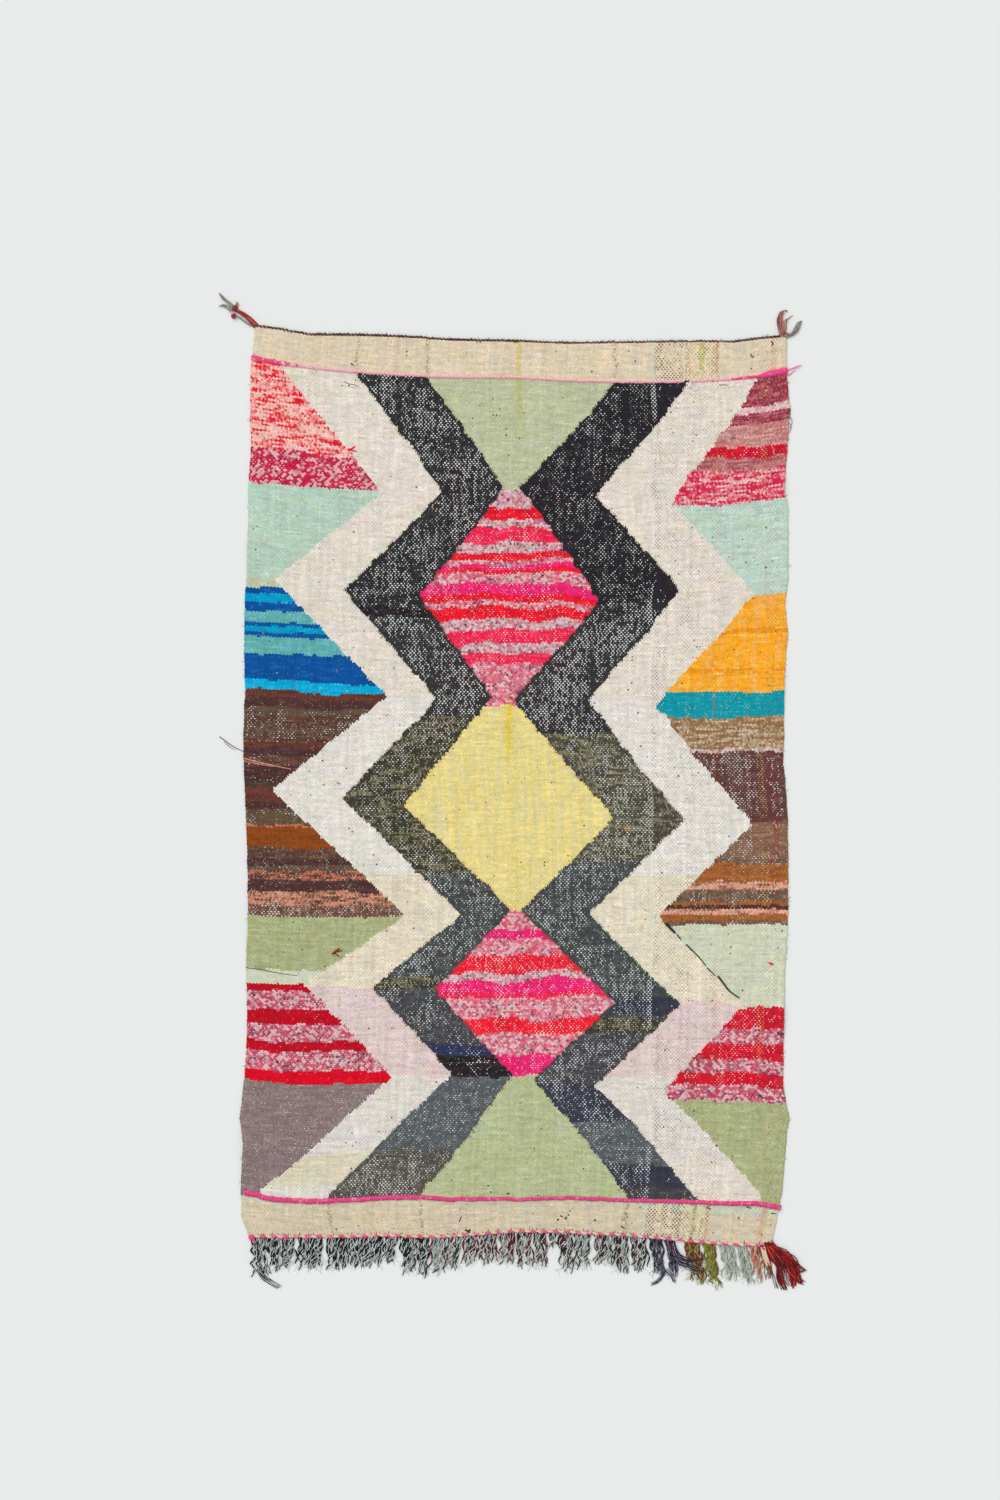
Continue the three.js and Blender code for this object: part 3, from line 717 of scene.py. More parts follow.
COLUMNS = [  # the zigzag edge each begins at, its stripes, how many ramps hold them
    ("outer left", LEFT_PALES, 1),
    ("inner left", LEFT_DARKS, 2),
    ("core left", CENTRE_STRIPES, 4),
    ("core right", RIGHT_DARKS, 2),
    ("inner right", RIGHT_PALES, 1),
    ("outer right", RIGHT_STRIPES, 4),
]
SIDE_RAMPS = 4
BEATEN_EDGES = ("inner left", "core left", "core right", "inner right")
BEATEN_REACH = (0.026, -0.001)  # swing and least, as shares of the width
EDGE_BITE, EDGE_TOOTH = 0.022, 0.005  # how ragged a zigzag's edge is, in metres
QUICK_WAVER, SIDE_WAVER, CENTRE_WAVER = 0.006, 0.01, 0.024  # shares of the loom's length


def pattern(draft, stitch, row_chance):
    """The yarn of each stitch, from the zigzags and the stripes between them. Also gives how
    far along it lies, and how near the dark zigzags' edges, which are beaten closest."""
    across_m, along_m, _ = draft.separate(stitch)
    along = draft.span(along_m, LOOM_LOW, LOOM_HIGH)
    tooth = draft.scaled(row_chance, EDGE_TOOTH, -EDGE_TOOTH / 2)
    bite = draft.minus(grain(draft, stitch, "edge bite"), 0.5)
    across = cloth_width(draft, draft.plus(across_m, draft.scaled(bite, EDGE_BITE, tooth)))
    slow = draft.minus(grain(draft, stitch, "slow waver"), 0.5)
    quick = draft.minus(grain(draft, stitch, "quick waver"), 0.5)
    wavered = draft.scaled(quick, QUICK_WAVER, along)
    side = draft.scaled(slow, SIDE_WAVER, wavered)
    centre = draft.scaled(slow, CENTRE_WAVER, wavered)

    beaten = draft.scaled(grain(draft, stitch, "beating"), *BEATEN_REACH)
    yarn = stripes(draft, side, LEFT_STRIPES, SIDE_RAMPS)
    outline = 0.0
    for name, rows, ramps in COLUMNS:
        beyond = draft.minus(across, zigzag_edge(draft, along, ZIGZAGS[name]))
        if name in BEATEN_EDGES:
            outline = draft.larger(outline, draft.span(draft.absolute(beyond), beaten, 0.0))
        inside = draft.above(beyond, 0.0)
        waver = centre if rows is CENTRE_STRIPES else side
        yarn = choose(draft, inside, yarn, stripes(draft, waver, rows, ramps))
    return along, outline, yarn


# ------------------------------------------------------------------ end bands and bare warp

# Warps by their place across the cloth: where a run starts, its dark ply, that ply's share.
WARP_RUNS = [
    (-645, (52, 62, 58), 0.3), (-206, (84, 44, 54), 0.34), (130, (62, 60, 60), 0.3),
    (310, (150, 168, 158), 0.05), (326, (48, 42, 62), 0.92), (404, (126, 62, 46), 0.7),
    (416, (86, 72, 50), 0.8), (434, (134, 146, 60), 0.6), (446, (96, 78, 54), 0.8),
    (470, (176, 92, 50), 0.85), (484, (150, 158, 146), 0.2), (556, (150, 96, 78), 0.4),
    (578, (206, 160, 110), 0.9), (597, (150, 44, 48), 0.8), (623, (128, 96, 80), 0.8),
]
# How loose the warps lie there: where a run starts, in the field, in the end bands.
LOOSE_RUNS = [
    (-645, 0.0, -0.04), (312, 0.6, 0.1), (326, 0.45, 0.95), (340, 0.12, 0.95),
    (404, 0.36, 0.9), (416, 0.12, 0.7), (434, 0.12, 0.45), (446, 0.12, 0.65), (472, 0.55, 0.8),
    (482, 0.05, 0.06), (556, 0.0, 0.02), (578, 0.32, 0.1), (597, 0.3, 0.3), (623, 0.0, 0.0),
]
# The tint that coloured warps lend the bands: where a run starts, its colour, its share.
BAND_TINTS = [
    (-645, (255, 255, 255), 0.0), (308, (206, 216, 200), 0.8), (326, (236, 214, 172), 0.6),
    (404, (196, 130, 96), 0.5), (413, (238, 216, 160), 0.6), (434, (190, 184, 66), 0.75),
    (446, (238, 214, 170), 0.6), (472, (190, 120, 76), 0.6), (481, (255, 255, 255), 0.0),
    (604, (206, 150, 110), 0.5), (618, (255, 255, 255), 0.0),
]
PALE_PLY = (226, 229, 226)
MINT_DEPTHS = (12, 22)  # of the mint line, left and right of where it broadens
MINT_BROADENS = 320
WARM_BLOTS = (0.52, 0.74)
LENT_STRENGTH = 1.6
YARN_HIDES, BAND_HIDES = 0.62, 0.3  # how far a pale weft hides the warp's own colour
HIDING_POWER = 0.6

# What opens the weave, with its weight, and from which sum on it does.
OPENINGS = {"warp streak": 3.2, "blotch": 3.2, "pick band": 2.0, "cluster": 3.6}
OPEN_FROM, LEAST_OPEN = 4.95, 0.03
EDGE_REACH, EDGE_CLOSES = (0.15, 0.6), -0.9  # how the beaten edges close the weave again


def coloured_runs(draft, across, runs):
    """Runs of warps, each where it starts, a 0-255 colour and a share, as a stepped ramp."""
    steps = [(across_share(start), linear(colour), share) for start, colour, share in runs]
    return draft.stepped(across, steps)


def end_bands(draft, stitch, along, yarn):
    """The plain beige bands beyond the twined lines, with a mint line below the foot one."""
    across = cloth_width(draft, draft.separate(stitch)[0])
    foot = draft.below(along, along_share(FOOT_LINE))
    head = draft.above(along, along_share(HEAD_LINE))
    ended = draft.larger(foot, head)
    yarn = choose(draft, foot, yarn, plain_yarn("foot band"))
    yarn = choose(draft, head, yarn, plain_yarn("head band"))
    broad = draft.above(across, across_share(MINT_BROADENS))
    mint_ends = [along_share(FOOT_LINE - depth) for depth in MINT_DEPTHS]
    mint = draft.times(foot, draft.above(along, draft.mix_value(broad, *mint_ends)))
    colour, share, second, open_share = choose(draft, mint, yarn, plain_yarn("mint line"))
    blots = draft.span(grain(draft, stitch, "warm blot"), *WARM_BLOTS)
    colour = tinted(draft, colour, "warm blot", draft.times(blots, ended))
    tint, amount = coloured_runs(draft, across, BAND_TINTS)
    lent = draft.times(draft.times(amount, ended), grain(draft, stitch, "lent tint"))
    colour = draft.mix(draft.times(lent, LENT_STRENGTH, clamp=True), colour, tint)
    return across, ended, (colour, share, second, open_share)


def warp_colour(draft, across, ended, cell, yarn_colour):
    """The marled warp that shows between floats. Dark weft shows it best."""
    dark_ply, dark_share = coloured_runs(draft, across, WARP_RUNS)
    turn = draft.floor(draft.times(cell["Row"], 0.5))
    chance = draft.random(draft.combine(cell["Warp"], turn, SEEDS["warp"]))[0]
    dark = draft.below(chance, dark_share)
    warp_shade = draft.mix(dark, linear(PALE_PLY), dark_ply)
    pale = draft.math("POWER", draft.lightness(yarn_colour), HIDING_POWER)
    hidden = draft.times(pale, draft.mix_value(ended, YARN_HIDES, BAND_HIDES))
    return draft.mix(hidden, warp_shade, yarn_colour)


def openness(draft, stitch, across, ended, outline, amount):
    """How likely the warp is to show: in streaks up the cloth, bands along the picks,
    blotches and small clusters, and least at the beaten edges."""
    total = 0.0
    for name, weight in OPENINGS.items():
        total = draft.scaled(grain(draft, stitch, name), weight, total)
    field = draft.larger(draft.minus(total, OPEN_FROM), LEAST_OPEN)
    runs = [(across_share(start), (field, band, 0.0), 1.0) for start, field, band in LOOSE_RUNS]
    in_field, in_bands, _ = draft.separate(draft.stepped(across, runs)[0])
    loosened = draft.plus(amount, draft.mix_value(ended, in_field, in_bands))
    beaten = draft.scaled(draft.span(outline, *EDGE_REACH), EDGE_CLOSES, 1.0)
    return draft.times(draft.times(loosened, field), beaten)


WARP_LIKELY, WARP_UNLIKELY = 1.34, -0.86  # weights of the openness and of chance
WIDEST_GAP = 1.3
GAP_SIZE = (1.8, 0.5)  # swing and least
GAP_FIRMNESS = (2.2, 0.22)
GAP_HARDNESS = 2.0


def warp_shows(draft, cell, likely):
    """Where the warp shows between floats, by how likely it is to."""
    chance = draft.random(cell["Gap"])[0]
    spare = draft.scaled(chance, WARP_UNLIKELY, draft.times(likely, WARP_LIKELY))
    width = draft.scaled(draft.math("MINIMUM", spare, WIDEST_GAP), *GAP_SIZE)
    within = draft.minus(width, cell["Gap Distance"], clamp=True)
    firm = draft.scaled(spare, *GAP_FIRMNESS, clamp=True)
    seen = draft.times(draft.above(spare, 0.0), firm)
    return draft.times(draft.times(within, GAP_HARDNESS, clamp=True), seen)


# ------------------------------------------------------------------ the weft's own shades

SPECKS = [  # where on the ramp, colour
    (0.0, (66, 66, 60)), (0.68, (136, 48, 56)), (0.8, (176, 100, 66)), (0.87, (230, 206, 120)),
    (0.92, (226, 136, 150)), (0.95, (62, 104, 92)),
]
SPECK_SCALE = 125.0
SPECKLESS = 0.976  # share of the places that hold no speck
SPECK_SIZE = (0.26, 0.1)  # swing and least
SPECK_STRENGTH = 0.8

# The fold's painted shade: a darker, yellower line painted along the lengthwise crease.
FOLD_LEAN, FOLD_ASIDE = -0.012, 0.0135  # where the fold runs beside the middle line
FOLD_REACH = (0.012, 0.002)  # metres from the fold where its shade ends and is full
FOLD_SHARP = ((0.02, 0.09), (0.22, 0.19))  # metres up the rug where it deepens and fades
FOLD_AT_HEAD, HEAD_DEPTH = (0.8, 0.93), 0.6
FOLD_SHADE_WAVER, FAINT_SHADE_DEPTH, FOLD_WAVER_SCALE = (0.4, 0.8), 0.3, 16.0
FOLD_SHADE_TAKES = (-0.06, -0.14, -0.72)  # what the fold takes from red, green and blue

PALE_YARN = (0.32, 0.7)  # lightness from where a yarn counts as pale
THIN_STREAKS, DASHES = (0.44, 0.74), (0.66, 0.78)

HEATHER_CONTRAST = 0.63  # a second colour that is darker than this share makes a heather
FLOAT_STRETCH, MARL_SPAN = (0.2, 3.7, 0.0), (0.25, 0.75)  # draw the marl out along a pick
HEATHER_GRAIN, PLAIN_GRAIN = 0.42, 0.3
MARL_SHARPNESS = (3.0, 3.4)  # what a heather adds, and the plain marl's own
PALE_FLECKS, DEEP_FLECKS = (0.54, 0.8), (0.4, 0.16)
DEEP_STRENGTH = 0.7
DEEP_DYE = (0.86, 0.34, 0.5)

SHADES = {  # what darkens the weft: its swing and its least
    "float": (0.16, 0.9), "dye lot": (0.56, 0.74), "pulled warp": (0.4, 0.82),
    # The groove entry is painted shade: the weft darker where a float dips at its ends and sides.
    "painted_groove_shade": (0.1, 0.84), "spinning": (0.42, 0.84),
}
FADING_SWING, FADING_LEAST = (0.13, 0.12, 0.3), (0.94, 0.945, 0.86)
DARK_EDGE = (0.72, 0.86)
CLOTH_FUZZ_SCALE = 1400.0
FUZZ_HEIGHT, GAP_SINKS = 0.35, -0.3


def specks(draft, web, colour):
    """Burrs and ends of other yarns caught in the weave."""
    node = draft.add("ShaderNodeTexVoronoi", {"Vector": web, "Scale": SPECK_SCALE})
    node.voronoi_dimensions = "2D"
    chance = draft.separate(node.outputs["Color"])
    caught = draft.above(chance[0], SPECKLESS)
    reach = draft.scaled(draft.math("POWER", chance[1], 2.0), *SPECK_SIZE)
    within = draft.below(node.outputs["Distance"], reach)
    steps = [(position, linear(shade), 1.0) for position, shade in SPECKS]
    shades = draft.stepped(chance[2], steps)[0]
    mask = draft.times(draft.times(caught, within), SPECK_STRENGTH)
    return draft.mix(mask, colour, shades)


def fold_shade(draft, stitch):
    """How strong the painted shade is along the lengthwise fold down the middle."""
    x, y, _ = draft.separate(stitch)
    from_fold = draft.scaled(y, FOLD_LEAN, draft.plus(x, FOLD_ASIDE))
    near = draft.span(draft.absolute(from_fold), *FOLD_REACH)
    # How the painted fold shade wavers in strength along its length.
    worn = draft.noise(draft.combine(0.0, y), FOLD_WAVER_SCALE)[0]
    faint = draft.times(draft.span(worn, *FOLD_SHADE_WAVER), FAINT_SHADE_DEPTH)
    sharp = draft.times(*(draft.span(y, *reach) for reach in FOLD_SHARP))
    at_head = draft.times(draft.span(y, *FOLD_AT_HEAD), HEAD_DEPTH)
    return draft.times(near, draft.larger(draft.larger(sharp, at_head), faint))


def with_fold_shade(draft, stitch, colour):
    """A colour with the painted shade of the fold, darker and yellower there."""
    fold = fold_shade(draft, stitch)
    # What the painted fold shade takes from each channel.
    shade_factors = draft.combine(*(draft.scaled(fold, dye, 1.0) for dye in FOLD_SHADE_TAKES))
    return draft.vector("MULTIPLY", colour, shade_factors)


def bled(draft, web, stitch, colour):
    """Pale yarns thin out in streaks up the cloth, where the grey of the warp comes through,
    and show thin dark dashes along the picks."""
    pale = draft.span(draft.lightness(colour), *PALE_YARN)
    thin = draft.span(grain(draft, stitch, "thin streak"), *THIN_STREAKS)
    colour = tinted(draft, colour, "thin streak", draft.times(thin, pale))
    dashes = draft.span(grain(draft, web, "dash"), *DASHES)
    return tinted(draft, colour, "dash", draft.times(dashes, pale))


def weft_colour(draft, cell, main, share, second):
    """The marled weft: streaks along a pick, broken up float by float. A yarn whose second
    colour is much the darker is a heather, with flecks of paler and deeper wool as well."""
    darker = draft.math("DIVIDE", draft.lightness(second), draft.lightness(main))
    heather = draft.below(darker, HEATHER_CONTRAST)
    drawn_out = draft.vector("MULTIPLY", cell["Float"], FLOAT_STRETCH)
    streaky = draft.span(draft.noise(drawn_out, 1.0, 1.0, PATCH_ROUGHNESS)[0], *MARL_SPAN)
    chance = draft.random(draft.combine(cell["Warp"], cell["Row"], SEEDS["marl"]))[0]
    mottling = draft.mix_value(heather, PLAIN_GRAIN, HEATHER_GRAIN)
    lean = draft.minus(share, draft.mix_value(mottling, streaky, chance))
    sharpness = draft.scaled(heather, *MARL_SHARPNESS)
    mixed = draft.mix(draft.scaled(lean, sharpness, 0.5, clamp=True), main, second)

    apart = draft.vector("ADD", cell["Float"], (0.0, 0.0, SEEDS["fleck"]))
    fleck = draft.separate(draft.random(apart)[1])[1]
    pale = draft.times(draft.span(fleck, *PALE_FLECKS), heather)
    paler = tinted(draft, mixed, "pale fleck", pale)
    deep = draft.times(draft.span(fleck, *DEEP_FLECKS), heather)
    deeper = draft.vector("MULTIPLY", paler, DEEP_DYE)
    return draft.mix(draft.times(deep, DEEP_STRENGTH), paler, deeper)


def shaded(draft, web, cell, colour):
    """A colour with the tones of floats, dye, warps and wool, and painted shade in the grooves."""
    sources = {
        "float": draft.random(cell["Float"])[0],
        "dye lot": grain(draft, cell["Stitch"], "dye lot"),
        "pulled warp": grain(draft, cell["Stitch"], "pulled warp"),
        # Painted shade in the grooves between floats and picks, from the float's height.
        "painted_groove_shade": cell["Height"],
        "spinning": grain(draft, web, "spinning"),
    }
    for name, value in sources.items():
        colour = draft.shade(colour, draft.scaled(value, *SHADES[name]))
    return colour


def faded(draft, stitch, colour):
    """A colour with the uneven fading of the dyes."""
    patches = grain(draft, stitch, "fading", "Color")
    tint = draft.vector("MULTIPLY_ADD", patches, FADING_SWING, FADING_LEAST)
    return draft.vector("MULTIPLY", colour, tint)


def dark_edges(draft, web, outline, colour):
    """A colour with the dark tufts that stand along the beaten edges."""
    tufted = draft.above(grain(draft, web, "tuft"), 0.5)
    edge = draft.times(draft.span(outline, *DARK_EDGE), tufted)
    return tinted(draft, colour, "dark edge", edge)


def cloth_material():
    """The whole web: its yarns by the pattern, worn thin to the warp in places."""
    material, draft = new_material("woven cloth")
    web = draft.add("ShaderNodeUVMap", uv_map="Web").outputs[0]
    cell = draft.use(WEAVE_CELL, {"Place": web})
    stitch = cell["Stitch"]
    row_chance = draft.random(draft.combine(cell["Row"], SEEDS["row"]))[0]
    along, outline, yarn = pattern(draft, stitch, row_chance)
    across, ended, yarn = end_bands(draft, stitch, along, yarn)
    main, share, second, open_share = yarn

    weft = shaded(draft, web, cell, weft_colour(draft, cell, main, share, second))
    # Painted shade along the fold goes over the weft here.
    weft = with_fold_shade(draft, stitch, bled(draft, web, stitch, weft))
    weft = dark_edges(draft, web, outline, faded(draft, stitch, weft))
    likely = openness(draft, stitch, across, ended, outline, open_share)
    shows = warp_shows(draft, cell, likely)
    warps = warp_colour(draft, across, ended, cell, weft)
    colour = specks(draft, web, draft.mix(shows, weft, warps))

    fuzz = draft.noise(web, CLOTH_FUZZ_SCALE, FIBRE_DETAIL, FIBRE_ROUGHNESS)[0]
    sunk = draft.scaled(shows, GAP_SINKS, cell["Height"])
    height = draft.scaled(fuzz, FUZZ_HEIGHT, sunk)
    wool_finish(draft, colour, draft.scaled(fuzz, *WOOL_ROUGHNESS), height, CLOTH_DEPTH)
    return material


# ------------------------------------------------------------------ the cloth

RIM = (0.0, 0.5, 1.5, 3.4)  # how far the rows and columns beside an edge lie from it
RIM_HALF_HEIGHT = 0.5
FOLD_ZONE = 0.055  # share of the half width beside the middle line, with closer columns
SIDE_COLUMNS, FOLD_COLUMNS = 30, 12
EDGE_POWER = 14  # how fast the selvedges' unevenness dies out towards the middle
DRAWN, FRAYED, TURNED = 1.7, 1.1, 0.45  # how far selvedges wave, fray and turn, in millimetres
DRAWN_LENGTH, FRAYED_LENGTH = 34, 9
BUMPS, BUMP_LENGTH = 0.3, 46  # of the upper side
UNDER_BAKE = 0.19  # share of the bake's width that the underside has
UPPER_BAKE, UNDER_START = 0.79, 0.81


def cloth_columns():
    rim = [-1 + inset / HALF_WIDTH for inset in RIM]
    left = rim + spread(rim[-1], -FOLD_ZONE, SIDE_COLUMNS)
    fold = spread(-FOLD_ZONE, FOLD_ZONE, FOLD_COLUMNS)
    return left + fold + [-across for across in reversed(left[:-1])]


def cloth_rows():
    rim = [FOOT_EDGE + inset for inset in RIM]
    field = spread(rim[-1], HEAD_EDGE - RIM[-1], round((HEAD_EDGE - FOOT_EDGE) / PICK_HEIGHT))
    return rim + field + [HEAD_EDGE - inset for inset in reversed(RIM[:-1])]


def cloth_place(across, along, row, upper):
    """Where one corner of the cloth's mesh lies, in the frame."""
    y = course_y(across, along)
    x = course_x(across, y)
    outer = abs(across) ** EDGE_POWER
    drawn = DRAWN * noise.noise(Vector((7.0 * math.copysign(1, across), y / DRAWN_LENGTH, 0.0)))
    frayed = FRAYED * noise.noise(Vector((3.0, y / FRAYED_LENGTH, across)))
    x += math.copysign(outer, across) * (drawn + frayed + TURNED * (-1) ** row)
    inset = min((1 - abs(across)) * HALF_WIDTH, along - FOOT_EDGE, HEAD_EDGE - along)
    half = CLOTH_THICKNESS / 2
    rounding = math.sqrt(max(0.0, 1 - (1 - min(inset / half, 1.0)) ** 2))
    bulk = max(RIM_HALF_HEIGHT, half * rounding)
    bumps = BUMPS * noise.noise(Vector((x / BUMP_LENGTH, y / BUMP_LENGTH, 1.0)))
    side = bulk + bumps * rounding if upper else -bulk
    return in_frame(x, y, lift_at(x, y) + half + side)


def cloth_grid(columns, rows):
    """The web, closed all round: a grid pulled up into an upper and an under side."""
    bm = bmesh.new()
    bmesh.ops.create_grid(bm, x_segments=len(columns) - 1, y_segments=len(rows) - 1, size=1.0)
    under = bm.faces[:]
    pulled = bmesh.ops.extrude_face_region(bm, geom=under, use_keep_orig=True)
    upper = [part for part in pulled["geom"] if isinstance(part, bmesh.types.BMVert)]
    bmesh.ops.translate(bm, verts=upper, vec=(0.0, 0.0, 1.0))
    bmesh.ops.reverse_faces(bm, faces=under)
    return bm


def cloth_mesh():
    """The grid laid out on the rug, with its place on the loom as the map that dyes it."""
    columns, rows = cloth_columns(), cloth_rows()
    bm = cloth_grid(columns, rows)
    web = bm.loops.layers.uv.new("Web")
    bake = bm.loops.layers.uv.new("OFBake")

    def crossing(vert):
        """The column and the row that a corner of the plain grid stands for."""
        column = round((vert.co.x + 1) / 2 * (len(columns) - 1))
        return column, round((vert.co.y + 1) / 2 * (len(rows) - 1))

    for face in bm.faces:
        below = all(vert.co.z < 0.5 for vert in face.verts)
        face.smooth = True
        for loop in face.loops:
            column, row = crossing(loop.vert)
            across, along = columns[column], rows[row]
            loop[web].uv = (across * HALF_WIDTH * MM, along * MM)
            u = (across + 1) / 2
            v = (along - FOOT_EDGE) / (HEAD_EDGE - FOOT_EDGE)
            loop[bake].uv = (UNDER_START + UNDER_BAKE * u if below else UPPER_BAKE * u, v)
    for vert in bm.verts:
        column, row = crossing(vert)
        vert.co = cloth_place(columns[column], rows[row], row, vert.co.z > 0.5)
    mesh = bpy.data.meshes.new("cloth")
    bm.to_mesh(mesh)
    bm.free()
    return mesh


def new_object(name, data):
    """A new object of the scene, at the origin."""
    item = bpy.data.objects.new(name, data)
    bpy.context.collection.objects.link(item)
    return item


def build_cloth():
    cloth = new_object("woven_cloth", cloth_mesh())
    cloth.data.materials.append(cloth_material())
    return cloth


# ------------------------------------------------------------------ yarns

YARN_SIDES = 1  # the bevel resolution that gives a yarn six sides
FINE_SIDES = 0  # and four sides, for the many ends of the fringe


def yarn_piece(name, strands, materials, sides=YARN_SIDES):
    """One piece of many yarns. A strand is its points in the frame, the radius at each, and
    which of the materials it is spun in."""
    data = bpy.data.curves.new(name, "CURVE")
    data.dimensions = "3D"
    data.bevel_depth = MM
    data.bevel_resolution = sides
    data.use_fill_caps = True
    for material in materials:
        data.materials.append(material)
    for points, radii, which in strands:
        spline = data.splines.new("POLY")
        spline.points.add(len(points) - 1)
        spline.material_index = which
        spline.use_smooth = True
        for point, place, radius in zip(spline.points, points, radii):
            point.co = (*place, 1.0)
            point.radius = radius
    return new_object(name, data)


TWINE_FLATNESS = 0.7  # of a twined row's height against its width


def twisted_pair(route, pitch, radius_at, step, thick=(1.0, 1.0), swing=1.0, swell=0.0):
    """Two strands twined around a route over the cloth, given as x, y and height. thick is
    each strand's share of the radius, swing how far they stray to the sides, and swell how
    much fatter each is where it lies on top."""
    pair = []
    for strand, share in enumerate(thick):
        points, radii = [], []
        for i, (x, y, z) in enumerate(route):
            ahead = route[min(i + 1, len(route) - 1)]
            behind = route[max(i - 1, 0)]
            run = Vector((ahead[0] - behind[0], ahead[1] - behind[1])).normalized()
            angle = 2 * math.pi * i * step / pitch + strand * math.pi
            radius = radius_at(x)
            aside = swing * radius * math.cos(angle)
            height = z + TWINE_FLATNESS * radius * math.sin(angle)
            points.append(in_frame(x - run.y * aside, y + run.x * aside, height))
            radii.append(radius * share * (1 + swell * math.sin(angle)))
        pair.append((points, radii, strand))
    return pair


def smooth_route(points, steps):
    """A soft line through a few points, with steps between each pair."""
    route = []
    for i in range(len(points) - 1):
        before = points[max(i - 1, 0)]
        start, end = points[i], points[i + 1]
        after = points[min(i + 2, len(points) - 1)]
        for j in range(steps):
            t = j / steps
            route.append(tuple(
                0.5 * (2 * b + (c - a) * t + (2 * a - 5 * b + 4 * c - d) * t ** 2
                       + (3 * b - a - 3 * c + d) * t ** 3)
                for a, b, c, d in zip(before, start, end, after)
            ))
    route.append(tuple(points[-1]))
    return route


def loose_yarn(points, radius, which, steps=4, tip=0.5):
    """A strand through a few x, y, z points, thinner towards its tip."""
    route = smooth_route(points, steps)
    radii = [radius * lerp(1.0, tip, (i / (len(route) - 1)) ** 2) for i in range(len(route))]
    return [in_frame(*place) for place in route], radii, which


def loose_yarns(rows):
    """Strands from rows of radius, wool and points."""
    return [loose_yarn(points, radius, which) for radius, which, points in rows]


# ------------------------------------------------------------------ twined lines and cord

TWINE_STEP = 1.2
LONG_WAVE, SHORT_WAVE = 24, 7
LINE_RISE = 0.3  # of a twined line's middle over the cloth
LINE_STRAYS, LINE_SWELLS = 1.5, 0.3
FUZZ_TIP = 0.4  # share of its radius that a fine end has at its tip
HEAD_LINE_RADII = [
    (-650, 4.4), (-622, 4.0), (-612, 3.2), (-536, 2.8), (-524, 2.2), (582, 2.1), (602, 4.0),
    (650, 4.9),
]
FOOT_LINE_RADII = [(-650, 3.7), (-200, 3.2), (0, 2.6), (350, 2.8), (650, 3.6)]
FOOT_LINE_SHIFTS = [
    (-660, 3.4), (-616, 3.0), (-608, -2.0), (-236, -1.2), (-228, 1.4), (-14, 1.0), (-8, -1.6),
    (120, 0), (560, 0), (660, -3.0),
]
LEVEL = [(-660, 0), (660, 0)]
TWINED_LINES = {  # the pick, its runs, radii, pitch, how it shifts to the sides, its wools
    "head_twined_line": (
        HEAD_LINE, [(-632, 404), (420, 648)], HEAD_LINE_RADII, 9.6, LEVEL, [
            ("faded pink wool", (228, 76, 128), (238, 176, 184), 0.34, 90.0, 0.66),
            ("pale pink wool", (234, 78, 134), (240, 190, 196), 0.34, 90.0, 0.72),
        ],
    ),
    "foot_twined_line": (
        FOOT_LINE, [(-652, 634)], FOOT_LINE_RADII, 7.0, FOOT_LINE_SHIFTS, [
            ("pink wool", (222, 82, 134), (234, 148, 176), 0.38, 90.0),
            ("bright pink wool", (212, 62, 122), (226, 110, 154), 0.4, 90.0),
        ],
    ),
}
PINK_LOOP = [  # radius, wool, points
    (1.2, 0, [(640, 991, 5), (653, 996, 3.5), (666, 1001, 1.6), (680, 1007, 1.4),
              (687, 1004, 1.4)]),
    (1.1, 0, [(648, 985, 4), (656, 984, 2), (664, 991, 1.6), (671, 999, 3.4), (682, 1003, 3)]),
]


def uneven(x, seed, amount):
    """How far a hand-laid row strays at one place, in long waves and in short ones."""
    long_wave = noise.noise(Vector((x / LONG_WAVE, seed, 0)))
    short_wave = noise.noise(Vector((x / SHORT_WAVE, seed, 3)))
    return amount * (long_wave + short_wave)


def uneven_radius(radii, seed, amount):
    """A row's radius by its place, from a table, with some unevenness."""
    return lambda x: from_table(radii, x, 1) + uneven(x, seed, amount)


def twined_line(name):
    """Two strands twined across the cloth over one pick."""
    along, runs, radii, pitch, shifts, rows = TWINED_LINES[name]
    strands = []
    for start, end in runs:
        route = []
        for x, y in line_points(along, start, end, TWINE_STEP):
            shift = from_table(shifts, x, 1) + uneven(x, along, LINE_STRAYS)
            route.append((x, y + shift, CLOTH_THICKNESS + lift_at(x, y) + LINE_RISE))
        radius_at = uneven_radius(radii, 2.0, LINE_SWELLS)
        strands += twisted_pair(route, pitch, radius_at, TWINE_STEP)
    return yarn_piece(name, strands, wools(rows))


def loose_pink_end():
    """The twining yarn's loose loop beyond the right selvedge."""
    rows = [("loose pink wool", (240, 110, 175), (246, 160, 200), 0.4)]
    return yarn_piece("loose_pink_end", loose_yarns(PINK_LOOP), wools(rows))


HEAD_CORD_PITCH = 9.2
HEAD_CORD_RADII = [(-630, 2.0), (0, 1.6), (120, 1.35), (500, 1.3), (640, 1.7)]
HEAD_CORD_PLIES = (1.0, 0.62)
HEAD_CORD_OUT, HEAD_CORD_HEIGHT = 3.2, 3.0  # beyond the cloth's edge, over the floor
HEAD_CORD_FUZZ = 90  # how many fine ends stand out of it
HEAD_BURRS = ((-2, 0.5, 7), (3, 1.5, 5))  # x, y from the edge, length
HEAD_CORD_WOOLS = [
    ("dark twine", (66, 48, 46), (104, 66, 60), 0.4, 60.0),
    ("pale twine", (178, 146, 136), (112, 66, 62), 0.46, 40.0),
    ("twine fuzz", (120, 90, 84), (170, 150, 140), 0.5),
    ("burr", (56, 60, 46), (80, 76, 60), 0.4),
]


